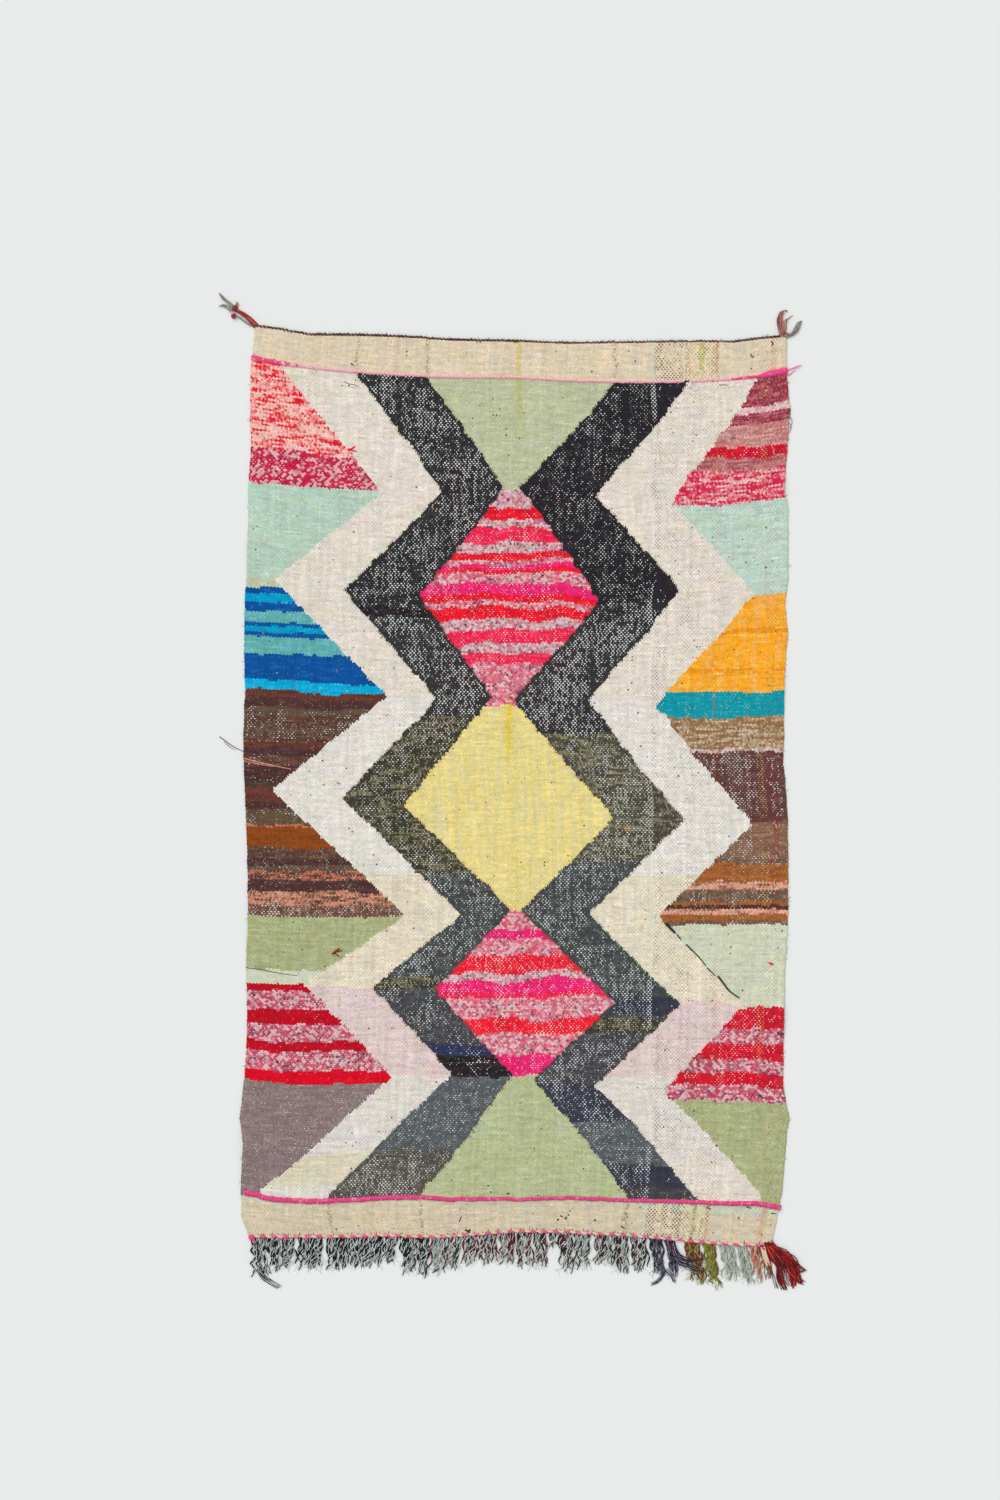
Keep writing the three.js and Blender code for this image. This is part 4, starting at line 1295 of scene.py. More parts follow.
def head_cord():
    """The dark and pale twine that binds the warp ends along the head edge."""
    flat = line_points(HEAD_EDGE, -624, 634, TWINE_STEP)
    route = [
        (x, y + HEAD_CORD_OUT + uneven(x, 5.0, LINE_STRAYS), HEAD_CORD_HEIGHT + lift_at(x, y))
        for x, y in flat
    ]
    radius_at = uneven_radius(HEAD_CORD_RADII, 8.0, 0.4)
    strands = twisted_pair(route, HEAD_CORD_PITCH, radius_at, TWINE_STEP, HEAD_CORD_PLIES)
    rng = random.Random("head cord")
    for _ in range(HEAD_CORD_FUZZ):
        x = rng.uniform(-620, 628)
        y = course_y(x / HALF_WIDTH, HEAD_EDGE) + 4
        reach, bend = rng.uniform(3, 8), rng.gauss(0, 5)
        points = [(x, y, 4.0), (x + bend * 0.4, y + reach * 0.6, 3), (x + bend, y + reach, 2)]
        strands.append(loose_yarn(points, 0.36, 2, 3, FUZZ_TIP))
    for x, y, long in HEAD_BURRS:
        top = course_y(x / HALF_WIDTH, HEAD_EDGE) + y
        points = [(x - long / 2, top - 1, 5.4), (x, top, 6.0), (x + long / 2, top + 1, 5.2)]
        strands.append(loose_yarn(points, 1.7, 3, 3, 0.7))
    return yarn_piece("head_twined_cord", strands, wools(HEAD_CORD_WOOLS))


BINDING_PITCH = 27.0
BINDING_RADII = [(-650, 2.7), (650, 2.7)]
BINDING_PLIES, BINDING_SWING, BINDING_SWELL = (1.0, 0.92), 0.4, 0.42
BINDING_OUT, BINDING_HEIGHT = 0.4, 3.6
# The ties are real short ends; their darker wool is painted shade under the binding.
BINDING_TIES = 170  # short ends that come up out of the cloth under the binding
BINDING_CLUMPS = [  # x, y, length
    (-634, -1088, 14), (-628, -1096, 10), (-622, -1084, 12), (-566, -1086, 12),
    (-548, -1088, 10), (-504, -1086, 8), (-296, -1086, 10), (594, -1102, 9),
]
BINDING_WOOLS = [
    ("binding pink", (220, 88, 136), (236, 150, 172), 0.4, 90.0),
    ("binding beige", (216, 196, 168), (226, 160, 160), 0.35, 60.0),
    # The tie wool: its dark colour is painted shade under the binding.
    ("binding shadow", (112, 96, 74), (150, 130, 100), 0.4, 60.0),
]


def foot_binding():
    """The pink and beige twining that holds the warp ends along the foot edge."""
    flat = line_points(FOOT_EDGE, -640, 584, TWINE_STEP)
    route = [(x, y + BINDING_OUT + uneven(x, 11.0, 1.6), BINDING_HEIGHT) for x, y in flat]
    strands = twisted_pair(
        route, BINDING_PITCH, uneven_radius(BINDING_RADII, 12.0, 0.7), TWINE_STEP,
        BINDING_PLIES, BINDING_SWING, BINDING_SWELL,
    )
    for x, y, long in BINDING_CLUMPS:
        points = [(x - long / 2, y + 1, 4.4), (x, y, 5.2), (x + long / 2, y - 1.5, 4.2)]
        strands.append(loose_yarn(points, 2.3, 0, 3, 0.7))
    rng = random.Random("binding")
    # Short ends in the darker wool that paints shade under the binding.
    for _ in range(BINDING_TIES):
        x = rng.uniform(-636, 590)
        y = course_y(x / HALF_WIDTH, FOOT_EDGE)
        rise = rng.uniform(4, 11)
        points = [(x, y + rise, 4.2), (x + rng.gauss(0, 1), y + rise * 0.4, 5.0), (x, y - 2, 4.0)]
        strands.append(loose_yarn(points, 0.6, 2, 2, 0.7))
    return yarn_piece("foot_binding", strands, wools(BINDING_WOOLS))


# ------------------------------------------------------------------ the fringe

LOCK_TAPER = 0.8  # share of a lock's width that is left at its tip
LOCKS = {  # by warp: from, to, lean, length, and the wool it favours where it has one
    "slate": [
        (-638, -604, 12, 102), (-601, -569, 7, 84), (-565, -533, 2, 80), (-523, -497, 4, 80),
        (-492, -466, 0, 84), (-454, -411, 2, 80), (-407, -365, -4, 76), (-361, -318, -10, 76),
        (-313, -284, -6, 68), (-279, -245, 0, 92), (-241, -209, 2, 96),
    ],
    "maroon": [
        (-203, -167, -4, 90), (-163, -131, -6, 82), (-127, -92, -2, 72), (-88, -47, 1, 74),
        (-43, -4, 3, 78), (1, 37, 4, 92), (41, 72, 2, 92), (81, 95, -2, 40), (101, 134, 3, 98),
        (139, 178, 1, 88), (187, 223, 2, 76), (228, 268, 3, 92), (273, 312, 4, 84),
    ],
    "navy": [(320, 350, 10, 98), (355, 380, 16, 88)],
    "olive": [(404, 441, 12, 104, 2), (446, 476, 17, 108, 1)],
    "mint": [(486, 522, 15, 88), (529, 553, 16, 94)],
    "rust": [(560, 581, 12, 90)],
}

# Each warp's wools: the first is its pale ply and frayed tips, the others its dark plies with
# their shares. A wool is its name, main colour and second colour.
WARP_WOOLS = {
    "slate": [
        ("pale slate wool", (214, 222, 218), (232, 234, 232)),
        ("slate wool", (28, 33, 32), (50, 58, 54), 0.88),
        ("grey slate wool", (112, 124, 118), (150, 160, 152), 0.12),
    ],
    "maroon": [
        ("pale ash wool", (214, 222, 217), (230, 233, 230)),
        ("ash wool", (38, 44, 40), (64, 70, 66), 0.46),
        ("maroon wool", (104, 34, 50), (70, 32, 42), 0.34),
        ("grey ash wool", (128, 140, 132), (164, 170, 162), 0.2),
    ],
    "navy": [
        ("lilac wool", (122, 122, 140), (154, 154, 168)),
        ("navy wool", (38, 40, 58), (56, 58, 76), 0.74),
        ("plum wool", (88, 42, 54), (60, 40, 52), 0.26),
    ],
    "olive": [
        ("leaf wool", (150, 156, 78), (178, 180, 124)),
        ("olive wool", (112, 108, 40), (148, 142, 58), 0.58),
        ("brick wool", (118, 54, 42), (90, 44, 40), 0.42),
    ],
    "mint": [
        ("grey mint wool", (204, 210, 200), (220, 224, 214)),
        ("dull mint wool", (164, 170, 156), (188, 192, 178), 0.74),
        ("grey green wool", (120, 126, 110), (148, 152, 136), 0.26),
    ],
    "rust": [
        ("stone mint wool", (184, 188, 170), (206, 206, 190)),
        ("rust wool", (196, 100, 74), (164, 74, 56), 0.6),
        ("sage brown wool", (126, 112, 88), (96, 84, 70), 0.4),
    ],
}
FAVOUR = 0.7  # how often a lock takes the wool that it favours
STRAND_STEPS = 22
STRAND_SPACING = 3.3  # of warp ends side by side along the foot edge
PALE_SPACING = 13  # of the loose pale ends over them
FRAY_SPACING = 1.7  # of the fine fibres at the tips
END_LENGTHS = (0.74, 1.0)  # shares of its lock's length that a warp end has
CURLS, PALE_CURLS = (1.6, 5.2), (4, 7)  # how far the ends curl to the sides
CURL_LENGTHS = (30, 64)
STRAYING = 7.0  # how far a tip ends up beside its place
ARCHES = (0.3, 2.6)  # how high an end rises between its root and its tip
ROOT_HEIGHT, TIP_HEIGHT = 2.6, 1.7
PALE_RISE, PALE_RADIUS = 1.6, 0.75  # of the loose pale ends
PLY_PITCH, PITCH_SHARES = 25.0, (0.75, 1.3)
PLIES = ((2.25, 0.5, 0.0), (0.7, 2.3, math.pi))  # radius, offset, turn: the dark, the pale
PLY_OPENS = 1.3  # how much further apart the plies are at the tip
PLY_TIP = 0.35  # share of its radius that a ply has there
FRAY_RADIUS, FRAY_FROM = 0.45, (0.62, 0.95)  # of the tips' fibres, shares of the length

EXTRA_LOCKS = [  # warp, points, strands, width, radius, wools by turns, tip spread, wave
    ("slate", [(-618, -1160, 3), (-604, -1180, 2), (-586, -1194, 1.6), (-568, -1205, 1.2)],
     10, 12, 0.9, (1, 0, 1), 1.3, 1.4),
    ("navy", [(374, -1098, 4), (380, -1122, 6), (396, -1136, 7), (424, -1139, 7),
              (448, -1138, 7)], 9, 13, 1.5, (1, 2, 0, 2), 1.1, 1.9),
    ("navy", [(372, -1130, 4), (390, -1146, 6), (418, -1156, 7), (440, -1164, 7)],
     8, 9, 1.1, (0, 1, 1), 1.1, 1.8),
    ("navy", [(346, -1150, 3), (352, -1172, 2), (342, -1188, 1.6), (326, -1198, 1.2)],
     8, 13, 1.2, (1, 0, 1), 0.6, 1.8),
    ("navy", [(358, -1160, 3), (372, -1176, 2), (380, -1192, 1.6)],
     7, 13, 1.1, (0, 1), 0.6, 1.8),
]


def lock_route(rng, lock, share, curl):
    """Where one warp end runs, from the binding to its tip: it wanders and curls."""
    start, end, lean, length = lock[:4]
    middle, width = (start + end) / 2, end - start
    aside = (share - 0.5) * width
    root_y = course_y((middle + aside) / HALF_WIDTH, FOOT_EDGE) - 2.0
    drop = length * rng.uniform(*END_LENGTHS)
    phase = rng.uniform(0, 2 * math.pi)
    turns = drop / rng.uniform(*CURL_LENGTHS)
    stray = rng.gauss(0, STRAYING)
    arch = rng.uniform(*ARCHES)
    route = []
    for i in range(STRAND_STEPS + 1):
        t = i / STRAND_STEPS
        sway = 2.4 * t * math.sin(2 * math.pi * (1.1 * t + 0.013 * middle))
        wave = curl * min(1.0, 3 * t) * math.sin(2 * math.pi * turns * t + phase)
        x = middle + aside * lerp(1, LOCK_TAPER, t) + lean * t + sway + wave + stray * t * t
        y = root_y - drop * t + 0.8 * curl * t * math.cos(2 * math.pi * turns * t + phase)
        rise = arch * math.sin(math.pi * t) ** 2
        route.append((x, y, lerp(ROOT_HEIGHT, TIP_HEIGHT, t) + rise))
    return route


def plied_end(rng, route, which):
    """A warp end as it is spun: a dark ply and a finer pale one twisted together."""
    phase = rng.uniform(0, 2 * math.pi)
    pitch = PLY_PITCH * rng.uniform(*PITCH_SHARES)
    plies = []
    for ply, (radius, offset, turn) in zip((which, 0), PLIES):
        points, radii, run = [], [], 0.0
        for i, (x, y, z) in enumerate(route):
            if i:
                run += math.hypot(x - route[i - 1][0], y - route[i - 1][1])
            angle = 2 * math.pi * run / pitch + phase + turn
            t = i / (len(route) - 1)
            opened = 1 + PLY_OPENS * t * t
            lift = max(offset * math.sin(angle), -1.0)
            points.append(in_frame(x + opened * offset * math.cos(angle), y, z + lift))
            radii.append(radius * lerp(1.0, PLY_TIP, t ** 3))
        plies.append((points, radii, ply))
    return plies


def pale_end(rng, lock):
    """A thin pale end that has come loose and lies over its lock."""
    route = lock_route(rng, lock, rng.uniform(0.1, 0.9), rng.uniform(*PALE_CURLS))
    raised = [in_frame(x, y, z + PALE_RISE) for x, y, z in route]
    return raised, [PALE_RADIUS] * len(raised), 0


def frayed_tips(rng, lock):
    """Fine loose fibres about a lock's tip."""
    start, end, lean, length = lock[:4]
    strands = []
    for _ in range(int((end - start) / FRAY_SPACING)):
        x = rng.uniform(start + 1, end - 1) + lean * 0.8
        y = course_y(x / HALF_WIDTH, FOOT_EDGE) - length * rng.uniform(*FRAY_FROM)
        bend, reach = rng.gauss(0, 8), rng.uniform(6, 17)
        points = [(x, y, 1.6), (x + bend, y - reach * 0.5, 1.2), (x + bend * 0.6, y - reach, 0.8)]
        strands.append(loose_yarn(points, FRAY_RADIUS, 0, 3, FUZZ_TIP))
    return strands


def pick_ply(rng, lock, rows):
    """Which of its warp's dark wools a warp end is spun in."""
    pick = rng.random()
    which = len(rows) - 1
    for i, row in enumerate(rows[1:], 1):
        pick -= row[3]
        if pick <= 0:
            which = i
            break
    favoured = lock[4:]
    if favoured and rng.random() < FAVOUR:
        which = favoured[0]
    return which


def bundle(rng, points, count, width, radius, which, tip_spread=1.0, wave=0.8):
    """Several strands that run together through the same few points, in wools by turns."""
    strands = []
    for i in range(count):
        aside = (i + 0.5) / count - 0.5
        route = []
        for j, (x, y, z) in enumerate(points):
            off = width * lerp(1.0, tip_spread, j / (len(points) - 1)) * aside
            route.append((
                x + off + rng.gauss(0, wave), y + rng.gauss(0, wave) + 0.4 * off,
                z + rng.uniform(0, 1.4),
            ))
        strands.append(loose_yarn(route, radius, which[i % len(which)], 4, 0.5))
    return strands


def extra_strands():
    """The locks that lie across the others, by their warp."""
    rng = random.Random("stray locks")
    strands = {warp: [] for warp in WARP_WOOLS}
    for warp, *row in EXTRA_LOCKS:
        strands[warp] += bundle(rng, *row)
    return strands


def fringe(warp, extra):
    """The warp ends of one colour along the foot edge, in their locks."""
    rng = random.Random(warp)
    rows = WARP_WOOLS[warp]
    strands = []
    for lock in LOCKS[warp]:
        width = lock[1] - lock[0]
        count = max(4, round(width / STRAND_SPACING))
        for i in range(count):
            route = lock_route(rng, lock, (i + 0.5) / count, rng.uniform(*CURLS))
            strands += plied_end(rng, route, pick_ply(rng, lock, rows))
        for _ in range(round(width / PALE_SPACING)):
            strands.append(pale_end(rng, lock))
        strands += frayed_tips(rng, lock)
    materials = wools(row[:3] for row in rows)
    return yarn_piece(f"fringe_yarns_{warp}", strands + extra, materials, FINE_SIDES)


# ------------------------------------------------------------------ tassels

KNOT_TURNS, KNOT_STEPS = 3, 12
KNOT_REACH = 1.7  # how much of the knot's round shape the winding covers
CORE_REACH, CORE_GIRTH = 0.7, 0.8

# A knot is x, y, length, width, height, turn, radius and wool. A bundle is its points, how
# many strands, width, radius, wools by turns, and where they differ the spread of its tip and
# how the strands wave.
TASSELS = {
    # The cord's end at the head's left corner: knotted, with its plies opened out.
    "head_tassel_left": {
        "seed": "left tassel",
        "knots": [(-674, 1143, 7, 5.4, 4.6, 1.0, 1.9, 0), (-677, 1125, 6, 5, 4.2, 2.2, 1.8, 1)],
        "bundles": [
            ([(-622, 1100, 3), (-638, 1116, 3.4), (-656, 1130, 4), (-676, 1142, 4)],
             6, 11, 1.9, (0, 1, 0, 4), 0.8),
            ([(-632, 1102, 2), (-645, 1110, 2), (-660, 1119, 2.6), (-674, 1128, 3.4)],
             5, 7, 0.9, (2, 3, 2), 0.9),
            ([(-678, 1146, 4), (-690, 1158, 3), (-702, 1168, 2), (-712, 1180, 1.4)],
             6, 8, 0.9, (2, 2, 3), 0.5, 1.2),
            ([(-682, 1136, 4), (-692, 1146, 3), (-702, 1152, 2), (-709, 1150, 1.4)],
             6, 9, 0.9, (3, 5), 1.1, 1.2),
            ([(-676, 1142, 4), (-671, 1150, 4), (-669, 1158, 3)], 3, 5, 1.4, (1, 0), 0.8),
        ],
        "wools": [
            ("russet wool", (138, 62, 48), (100, 46, 42)),
            ("crimson wool", (170, 52, 72), (110, 40, 58)),
            ("string grey wool", (150, 134, 118), (112, 92, 80)),
            ("dull mint end", (150, 162, 152), (190, 196, 188)),
            ("copper wool", (196, 108, 88), (160, 78, 62)),
            ("grey green end", (104, 112, 100), (130, 138, 124)),
        ],
    },
    # The cord's end at the head's right corner: one stub stands up, the rest curls away.
    "head_tassel_right": {
        "seed": "right tassel",
        "knots": [(642, 1082, 5, 4.2, 3.8, 0.9, 1.7, 0)],
        "bundles": [
            ([(640, 1082, 4), (634, 1100, 4), (633, 1120, 3.4), (638, 1137, 2.4)],
             10, 16, 1.5, (0, 4, 0, 1), 0.7),
            ([(638, 1128, 4), (642, 1138, 3.4), (650, 1136, 2.6)], 4, 6, 1.2, (0, 4), 0.8),
            ([(644, 1084, 4), (645, 1098, 4), (646, 1112, 3.4), (655, 1121, 2.4),
              (662, 1126, 2)], 3, 5, 1.0, (4, 1, 0), 1.2),
            ([(644, 1081, 4), (656, 1077, 3.4), (668, 1086, 3), (676, 1098, 2.4),
              (681, 1112, 1.6)], 12, 16, 1.4, (2, 3, 2), 0.8),
        ],
        "wools": [
            ("rosewood wool", (150, 88, 86), (112, 66, 62), 0.45),
            ("clay wool", (176, 110, 84), (140, 86, 68)),
            ("taupe wool", (120, 106, 100), (90, 82, 80)),
            ("ash brown wool", (176, 166, 158), (144, 130, 122)),
            ("dusty rose wool", (186, 128, 126), (160, 104, 100)),
        ],
    },
    # The bundle of red yarns tied at the foot's right corner, with an ivory ribbon.
    "foot_tassel_right": {
        "seed": "foot tassel",
        "knots": [(600, -1104, 6, 5, 4.4, -0.9, 1.9, 0)],
        "bundles": [
            ([(600, -1100, 4), (610, -1124, 5), (628, -1152, 4), (634, -1182, 3),
              (644, -1210, 1.6)], 12, 22, 1.6, (0, 2, 2, 1), 0.5, 2.6),
            ([(602, -1100, 5), (622, -1122, 6), (650, -1146, 5), (664, -1174, 3),
              (668, -1202, 1.6)], 16, 30, 1.6, (2, 0, 2, 0, 1), 0.42, 2.6),
            ([(604, -1102, 6), (634, -1124, 7), (662, -1150, 5), (674, -1178, 3),
              (686, -1196, 1.6)], 12, 22, 1.5, (0, 2, 2, 0, 1), 0.5, 2.6),
            ([(604, -1102, 4), (636, -1118, 5), (662, -1136, 4), (676, -1158, 3),
              (690, -1168, 1.8)], 8, 12, 1.4, (2, 0, 2), 0.9, 2.6),
            ([(604, -1106, 7), (624, -1136, 8), (646, -1164, 6), (660, -1190, 3)],
             3, 12, 0.7, (4, 1), 1.8, 2.6),
            ([(620, -1130, 7), (640, -1160, 8), (642, -1184, 6), (652, -1204, 2)],
             6, 16, 1.1, (7, 2), 1.2, 2.6),
            ([(598, -1124, 3), (604, -1140, 4), (612, -1160, 3), (620, -1184, 2),
              (626, -1206, 1.2)], 4, 7, 1.1, (3, 2), 0.5, 2.6),
            ([(600, -1136, 3), (602, -1152, 3), (606, -1168, 2), (604, -1184, 1.4)],
             8, 15, 1.1, (3, 1, 6), 1.0, 2.6),
            ([(598, -1132, 3), (590, -1152, 2), (582, -1166, 1.4)],
             4, 10, 1.0, (1, 4, 3), 1.2, 2.6),
            ([(580, -1106, 3), (583, -1122, 3), (587, -1136, 2)],
             4, 5, 1.2, (2, 3), 0.8, 2.6),
            ([(592, -1106, 5), (595, -1122, 6), (601, -1140, 5), (606, -1153, 4)],
             7, 10, 1.4, (5,), 1.0, 0.4),
        ],
        "wools": [
            ("brick red wool", (152, 24, 26), (108, 20, 28), 0.5, 60.0),
            ("flame wool", (196, 50, 28), (150, 30, 26), 0.45, 60.0),
            ("garnet wool", (110, 24, 36), (78, 26, 42), 0.45, 60.0),
            ("moss brown wool", (116, 104, 44), (104, 66, 40), 0.45, 60.0),
            ("amber wool", (232, 126, 74), (206, 86, 44), 0.4, 60.0),
            ("ivory wool", (224, 202, 166), (208, 184, 146)),
            ("fern wool", (94, 112, 60), (70, 74, 50)),
            ("prune wool", (72, 36, 58), (54, 40, 60), 0.45),
        ],
    },
}


def wrapped_knot(x, y, long, wide, high, turn, yarn_radius, which):
    """A pulled knot: a core with its yarn wound around it."""
    along = Vector((math.cos(turn), math.sin(turn)))
    points, radii = [], []
    steps = KNOT_STEPS * KNOT_TURNS
    for i in range(steps + 1):
        t = i / steps
        reach = (t - 0.5) * KNOT_REACH
        girth = math.sqrt(max(0.05, 1 - reach ** 2))
        angle = 2 * math.pi * KNOT_TURNS * t
        off = wide * girth * math.cos(angle)
        px = x + along.x * reach * long - along.y * off
        py = y + along.y * reach * long + along.x * off
        points.append(in_frame(px, py, high + (high - yarn_radius) * girth * math.sin(angle)))
        radii.append(yarn_radius)
    half_x, half_y = along.x * long * CORE_REACH, along.y * long * CORE_REACH
    ends = [(x - half_x, y - half_y, high), (x, y, high), (x + half_x, y + half_y, high)]
    core = smooth_route(ends, 4)
    core_radii = [
        high * CORE_GIRTH * math.sin(math.pi * lerp(0.2, 0.8, i / (len(core) - 1)))
        for i in range(len(core))
    ]
    return [(points, radii, which), ([in_frame(*place) for place in core], core_radii, which)]


def tassel(node):
    """The yarns of one tassel: its knots, then its bundles."""
    plan = TASSELS[node]
    rng = random.Random(plan["seed"])
    strands = []
    for knot in plan["knots"]:
        strands += wrapped_knot(*knot)
    for row in plan["bundles"]:
        strands += bundle(rng, *row)
    return yarn_piece(f"{node}_yarns", strands, wools(plan["wools"]))


# ------------------------------------------------------------------ stray yarn ends

STRAYS = [  # colour name, radius, points on the cloth as x, y
    ("soot", 1.6, [(160, 186), (166, 180), (163, 172), (170, 176)]),
    ("soot", 1.2, [(168, 188), (172, 178), (164, 176)]),
    ("marigold", 2.0, [(260, -106), (265, -104), (270, -107)]),
    ("marigold", 1.2, [(268, -103), (276, -106)]),
    ("russet", 2.6, [(-441, -406), (-431, -398), (-423, -391)]),
    ("russet", 1.8, [(-434, -398), (-425, -399), (-417, -396)]),
    ("russet", 1.6, [(-436, -402), (-428, -408), (-424, -411)]),
    ("emerald", 1.6, [(516, 831), (521, 834), (527, 832)]),
    ("poppy", 3.2, [(608, -428), (612, -428), (616, -430)]),
    ("poppy", 1.2, [(603, -426), (611, -427), (620, -432)]),
    ("poppy", 2.2, [(-404, 804), (-396, 806), (-386, 812)]),
    ("poppy", 1.8, [(-400, 802), (-392, 803), (-382, 799)]),
    ("salmon", 2.2, [(-652, 64), (-620, 55), (-584, 47), (-540, 38)]),
    ("salmon", 1.6, [(-652, 58), (-632, 53), (-606, 48), (-580, 44)]),
    ("soot", 1.2, [(-137, -1047), (-133, -1040), (-131, -1034)]),
    ("soot", 2.0, [(-122, -1066), (-115, -1070), (-110, -1066), (-114, -1074)]),
    ("soot", 1.8, [(98, -1043), (103, -1041)]),
    ("soot", 1.6, [(106, -1033), (111, -1035)]),
    ("moss", 1.8, [(117, -1040), (120, -1036), (121, -1042)]),
    ("soot", 1.6, [(124, -1030), (128, -1032)]),
    ("soot", 1.9, [(187, -1044), (192, -1043)]),
    ("soot", 1.3, [(252, -1057), (256, -1061), (260, -1063)]),
    ("moss", 1.6, [(456, -1013), (462, -1015), (468, -1017)]),
    ("moss", 1.6, [(552, -1011), (558, -1013), (564, -1015)]),
    ("soot", 1.1, [(612, -1027), (624, -1028)]),
    ("soot", 1.8, [(-22, -981), (-16, -978)]),
    ("moss", 1.8, [(-396, 1011), (-390, 1008)]),
    ("moss", 1.4, [(562, 1034), (567, 1026), (570, 1030)]),
    ("soot", 1.5, [(612, 1064), (617, 1058), (613, 1054)]),
    ("soot", 0.7, [(-412, 968), (-400, 962), (-388, 960), (-378, 956)]),
    ("moss", 0.9, [(488, 958), (496, 960), (508, 959)]),
    ("soot", 3.6, [(360, -332), (370, -343), (382, -355)]),
    ("soot", 1.6, [(386, -358), (392, -366), (396, -371)]),
    ("soot", 1.7, [(408, -382), (422, -396), (438, -412), (456, -434)]),
    ("soot", 1.4, [(458, -438), (466, -446), (478, -458)]),
    ("soot", 2.2, [(484, -458), (498, -476), (512, -494), (536, -511)]),
    ("brick", 1.1, [(-430, 6), (-420, 2)]),
    ("soot", 0.8, [(-648, -438), (-610, -443), (-570, -451), (-520, -458)]),
    ("straw", 0.7, [(-648, -364), (-624, -380), (-600, -398), (-572, -411)]),
    ("straw", 0.7, [(-582, -392), (-560, -406), (-530, -428)]),
]
STRAY_WOOLS = {
    "soot": ((44, 44, 44), (64, 60, 58)),
    "marigold": ((240, 166, 50), (226, 140, 40)),
    "russet": ((118, 62, 34), (96, 50, 32)),
    "emerald": ((20, 150, 100), (30, 130, 90)),
    "poppy": ((224, 50, 60), (200, 40, 60)),
    "salmon": ((190, 128, 104), (222, 176, 152)),
    "straw": ((200, 202, 160), (188, 190, 146)),
    "moss": ((92, 92, 72), (110, 108, 84)),
    "brick": ((150, 64, 52), (130, 54, 46)),
}

SELVEDGE_LOOPS = [  # radius, wool, points
    (0.9, 0, [(-712, 116, 1.2), (-700, 108, 1.4), (-684, 96, 1.6), (-662, 84, 2.4),
              (-640, 76, 4.4)]),
    (0.6, 0, [(-700, 104, 1.2), (-688, 92, 1.4), (-672, 84, 2.0)]),
    (1.1, 1, [(640, 880, 5), (654, 886, 4), (662, 874, 2.4), (658, 860, 2.4), (648, 852, 4)]),
    (1.0, 1, [(638, 868, 5), (650, 872, 4.4), (660, 862, 2.4), (656, 848, 2.4), (644, 846, 5)]),
]
SELVEDGE_FUZZ = 70  # how many fine ends stand out of both selvedges
SELVEDGE_WOOLS = [
    ("dark end wool", (70, 50, 50), (90, 80, 76)),
    ("dusty curl wool", (176, 140, 136), (200, 176, 168)),
    ("fuzz wool", (190, 180, 166), (150, 140, 126)),
]


def stray_ends():
    """Ends of other yarns that stand a little proud of the weave."""
    names = list(STRAY_WOOLS)
    strands = []
    for name, radius, route in STRAYS:
        points = [
            (x, y, CLOTH_THICKNESS + lift_at(x, y) + radius * 0.5) for x, y in route
        ]
        strands.append(loose_yarn(points, radius, names.index(name), 3, 0.6))
    rows = [(f"{name} end", *STRAY_WOOLS[name]) for name in names]
    return yarn_piece("stray_ends", strands, wools(rows))


def selvedge_ends():
    """Loops and loose ends at the selvedges."""
    strands = loose_yarns(SELVEDGE_LOOPS)
    rng = random.Random("selvedge")
    for _ in range(SELVEDGE_FUZZ):
        side = rng.choice((-1, 1))
        y = rng.uniform(-960, 980)
        x = course_x(side, y)
        reach = rng.uniform(3, 8)
        rise = rng.gauss(0, 5)
        points = [
            (x - side * 3, y, 3.6), (x + side * reach * 0.6, y + rise * 0.4, 1.6),
            (x + side * reach, y + rise, 1.0),
        ]
        strands.append(loose_yarn(points, 0.4, 2, 3, FUZZ_TIP))
    return yarn_piece("selvedge_ends", strands, wools(SELVEDGE_WOOLS))


# ------------------------------------------------------------------ floor, light and camera

EYE = {"x": -26.7 * MM, "y": 104.7 * MM, "height": 6.0, "frame": 3.6, "sensor": 36.0}
FLOOR_SIZE = 30.0
FLOOR_COLOUR = (229, 232, 230)
WHITE = (1.0, 1.0, 1.0, 1.0)
SKY_STRENGTH, KEY_STRENGTH = 0.62, 1.75
KEY_SOFTNESS, KEY_TILT = 50, (-34, -26)  # degrees


def camera():
    """The eye looks straight down, with the rug a little off the middle of its frame."""
    data = bpy.data.cameras.new("camera")
    data.sensor_width = EYE["sensor"]
    data.lens = EYE["sensor"] * EYE["height"] / EYE["frame"]
    data.clip_end = 100.0
    eye = new_object("camera", data)
    eye.location = (EYE["x"], EYE["y"], EYE["height"])
    bpy.context.scene.camera = eye


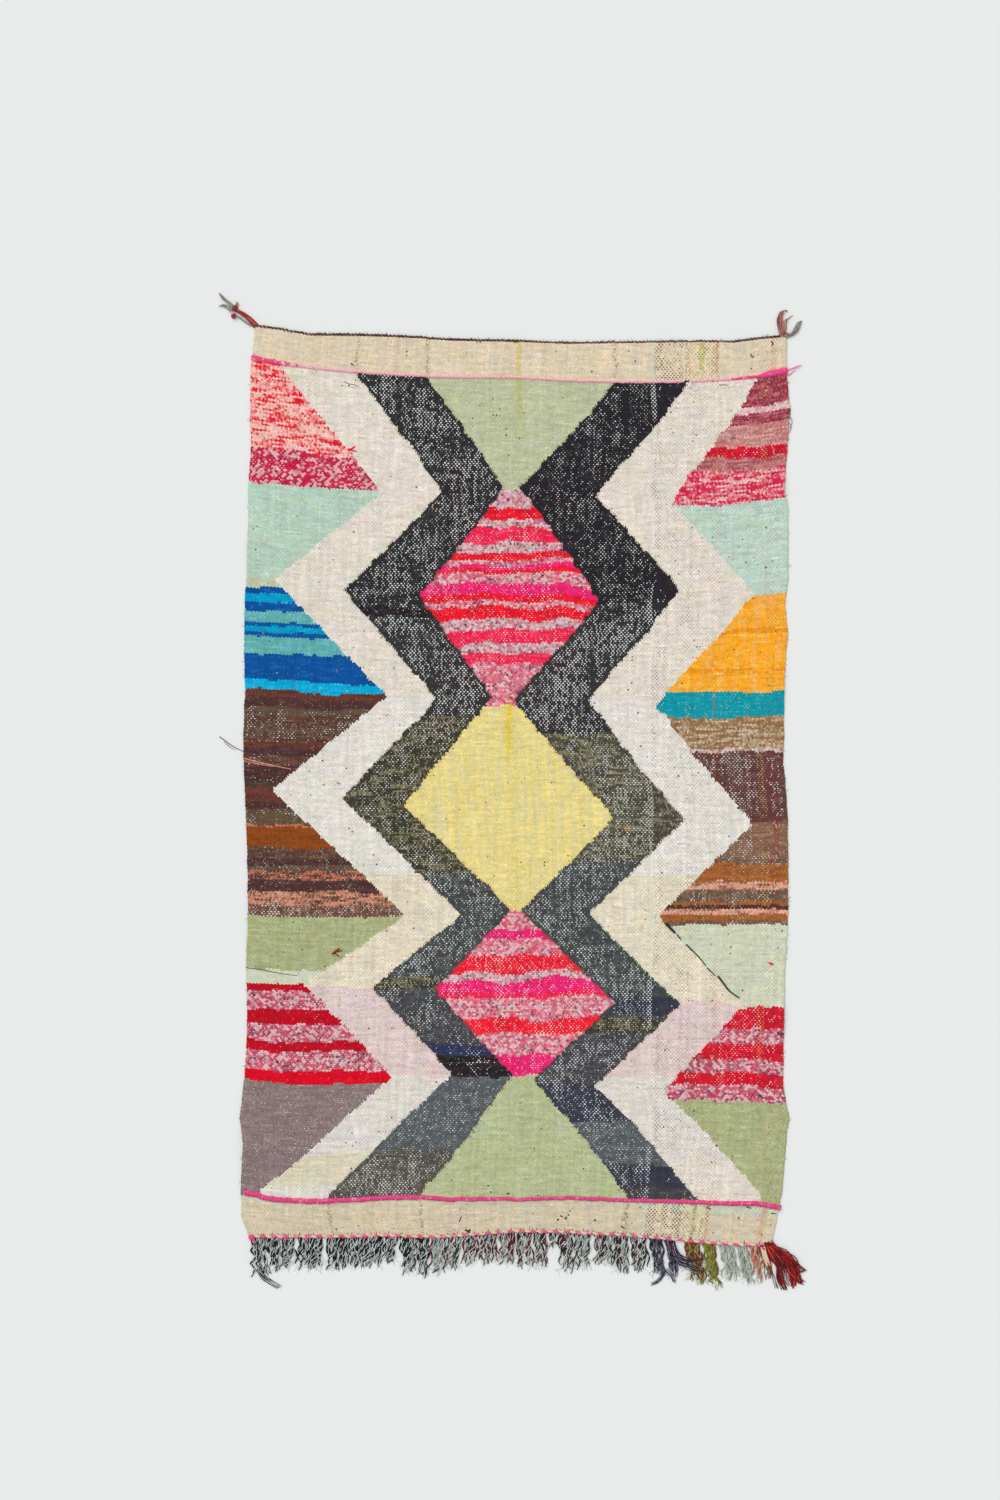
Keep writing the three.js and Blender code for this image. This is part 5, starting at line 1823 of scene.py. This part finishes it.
def floor():
    """The pale floor that the rug lies on."""
    bm = bmesh.new()
    bmesh.ops.create_grid(bm, x_segments=1, y_segments=1, size=FLOOR_SIZE)
    mesh = bpy.data.meshes.new("floor")
    bm.to_mesh(mesh)
    bm.free()
    material, draft = new_material("pale floor")
    shader = draft.add("ShaderNodeBsdfPrincipled", {
        "Base Color": linear(FLOOR_COLOUR),
        "Roughness": 0.9,
        "Specular IOR Level": 0.1,
    })
    draft.add("ShaderNodeOutputMaterial", {"Surface": shader.outputs[0]})
    mesh.materials.append(material)
    new_object("floor", mesh)


def lights():
    """White light from all round, and a broad soft key."""
    world = bpy.data.worlds.new("studio")
    world.use_nodes = True
    sky = world.node_tree.nodes["Background"]
    sky.inputs["Color"].default_value = WHITE
    sky.inputs["Strength"].default_value = SKY_STRENGTH
    bpy.context.scene.world = world
    data = bpy.data.lights.new("soft key", "SUN")
    data.energy = KEY_STRENGTH
    data.angle = math.radians(KEY_SOFTNESS)
    key = new_object("soft key", data)
    key.rotation_euler = (*(math.radians(tilt) for tilt in KEY_TILT), 0.0)


def as_shown():
    """Plain display colours, so that a dyed yarn shows the colour it is given."""
    view = bpy.context.scene.view_settings
    view.view_transform = "Standard"
    view.look = "None"


# ------------------------------------------------------------------ putting it together

camera()
as_shown()
WEAVE_CELL = weave_cell_group()
SPUN_WOOL = wool_group()
floor()
lights()


def dress(piece, slot, *nodes):
    """Puts a piece on the rug's one body, in place of its CAD node. Its slot is not used."""
    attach(piece, "root")
    if nodes:
        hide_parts(*nodes)
    return piece


cloth = dress(build_cloth(), "woven_cloth", "cloth")
trims = [
    dress(twined_line("head_twined_line"), "woven_cloth"),
    dress(twined_line("foot_twined_line"), "woven_cloth"),
    dress(loose_pink_end(), "woven_cloth"),
    dress(foot_binding(), "woven_cloth"),
    dress(head_cord(), "brown_twine", "head_cord"),
    dress(tassel("head_tassel_left"), "russet_yarn", "head_tassel_left"),
    dress(tassel("head_tassel_right"), "russet_yarn", "head_tassel_right"),
    dress(tassel("foot_tassel_right"), "red_yarn", "foot_tassel_right"),
    dress(stray_ends(), "woven_cloth"),
    dress(selvedge_ends(), "woven_cloth"),
]
for warp, extra in extra_strands().items():
    trims.append(dress(fringe(warp, extra), f"{warp}_yarn", f"fringe_{warp}"))
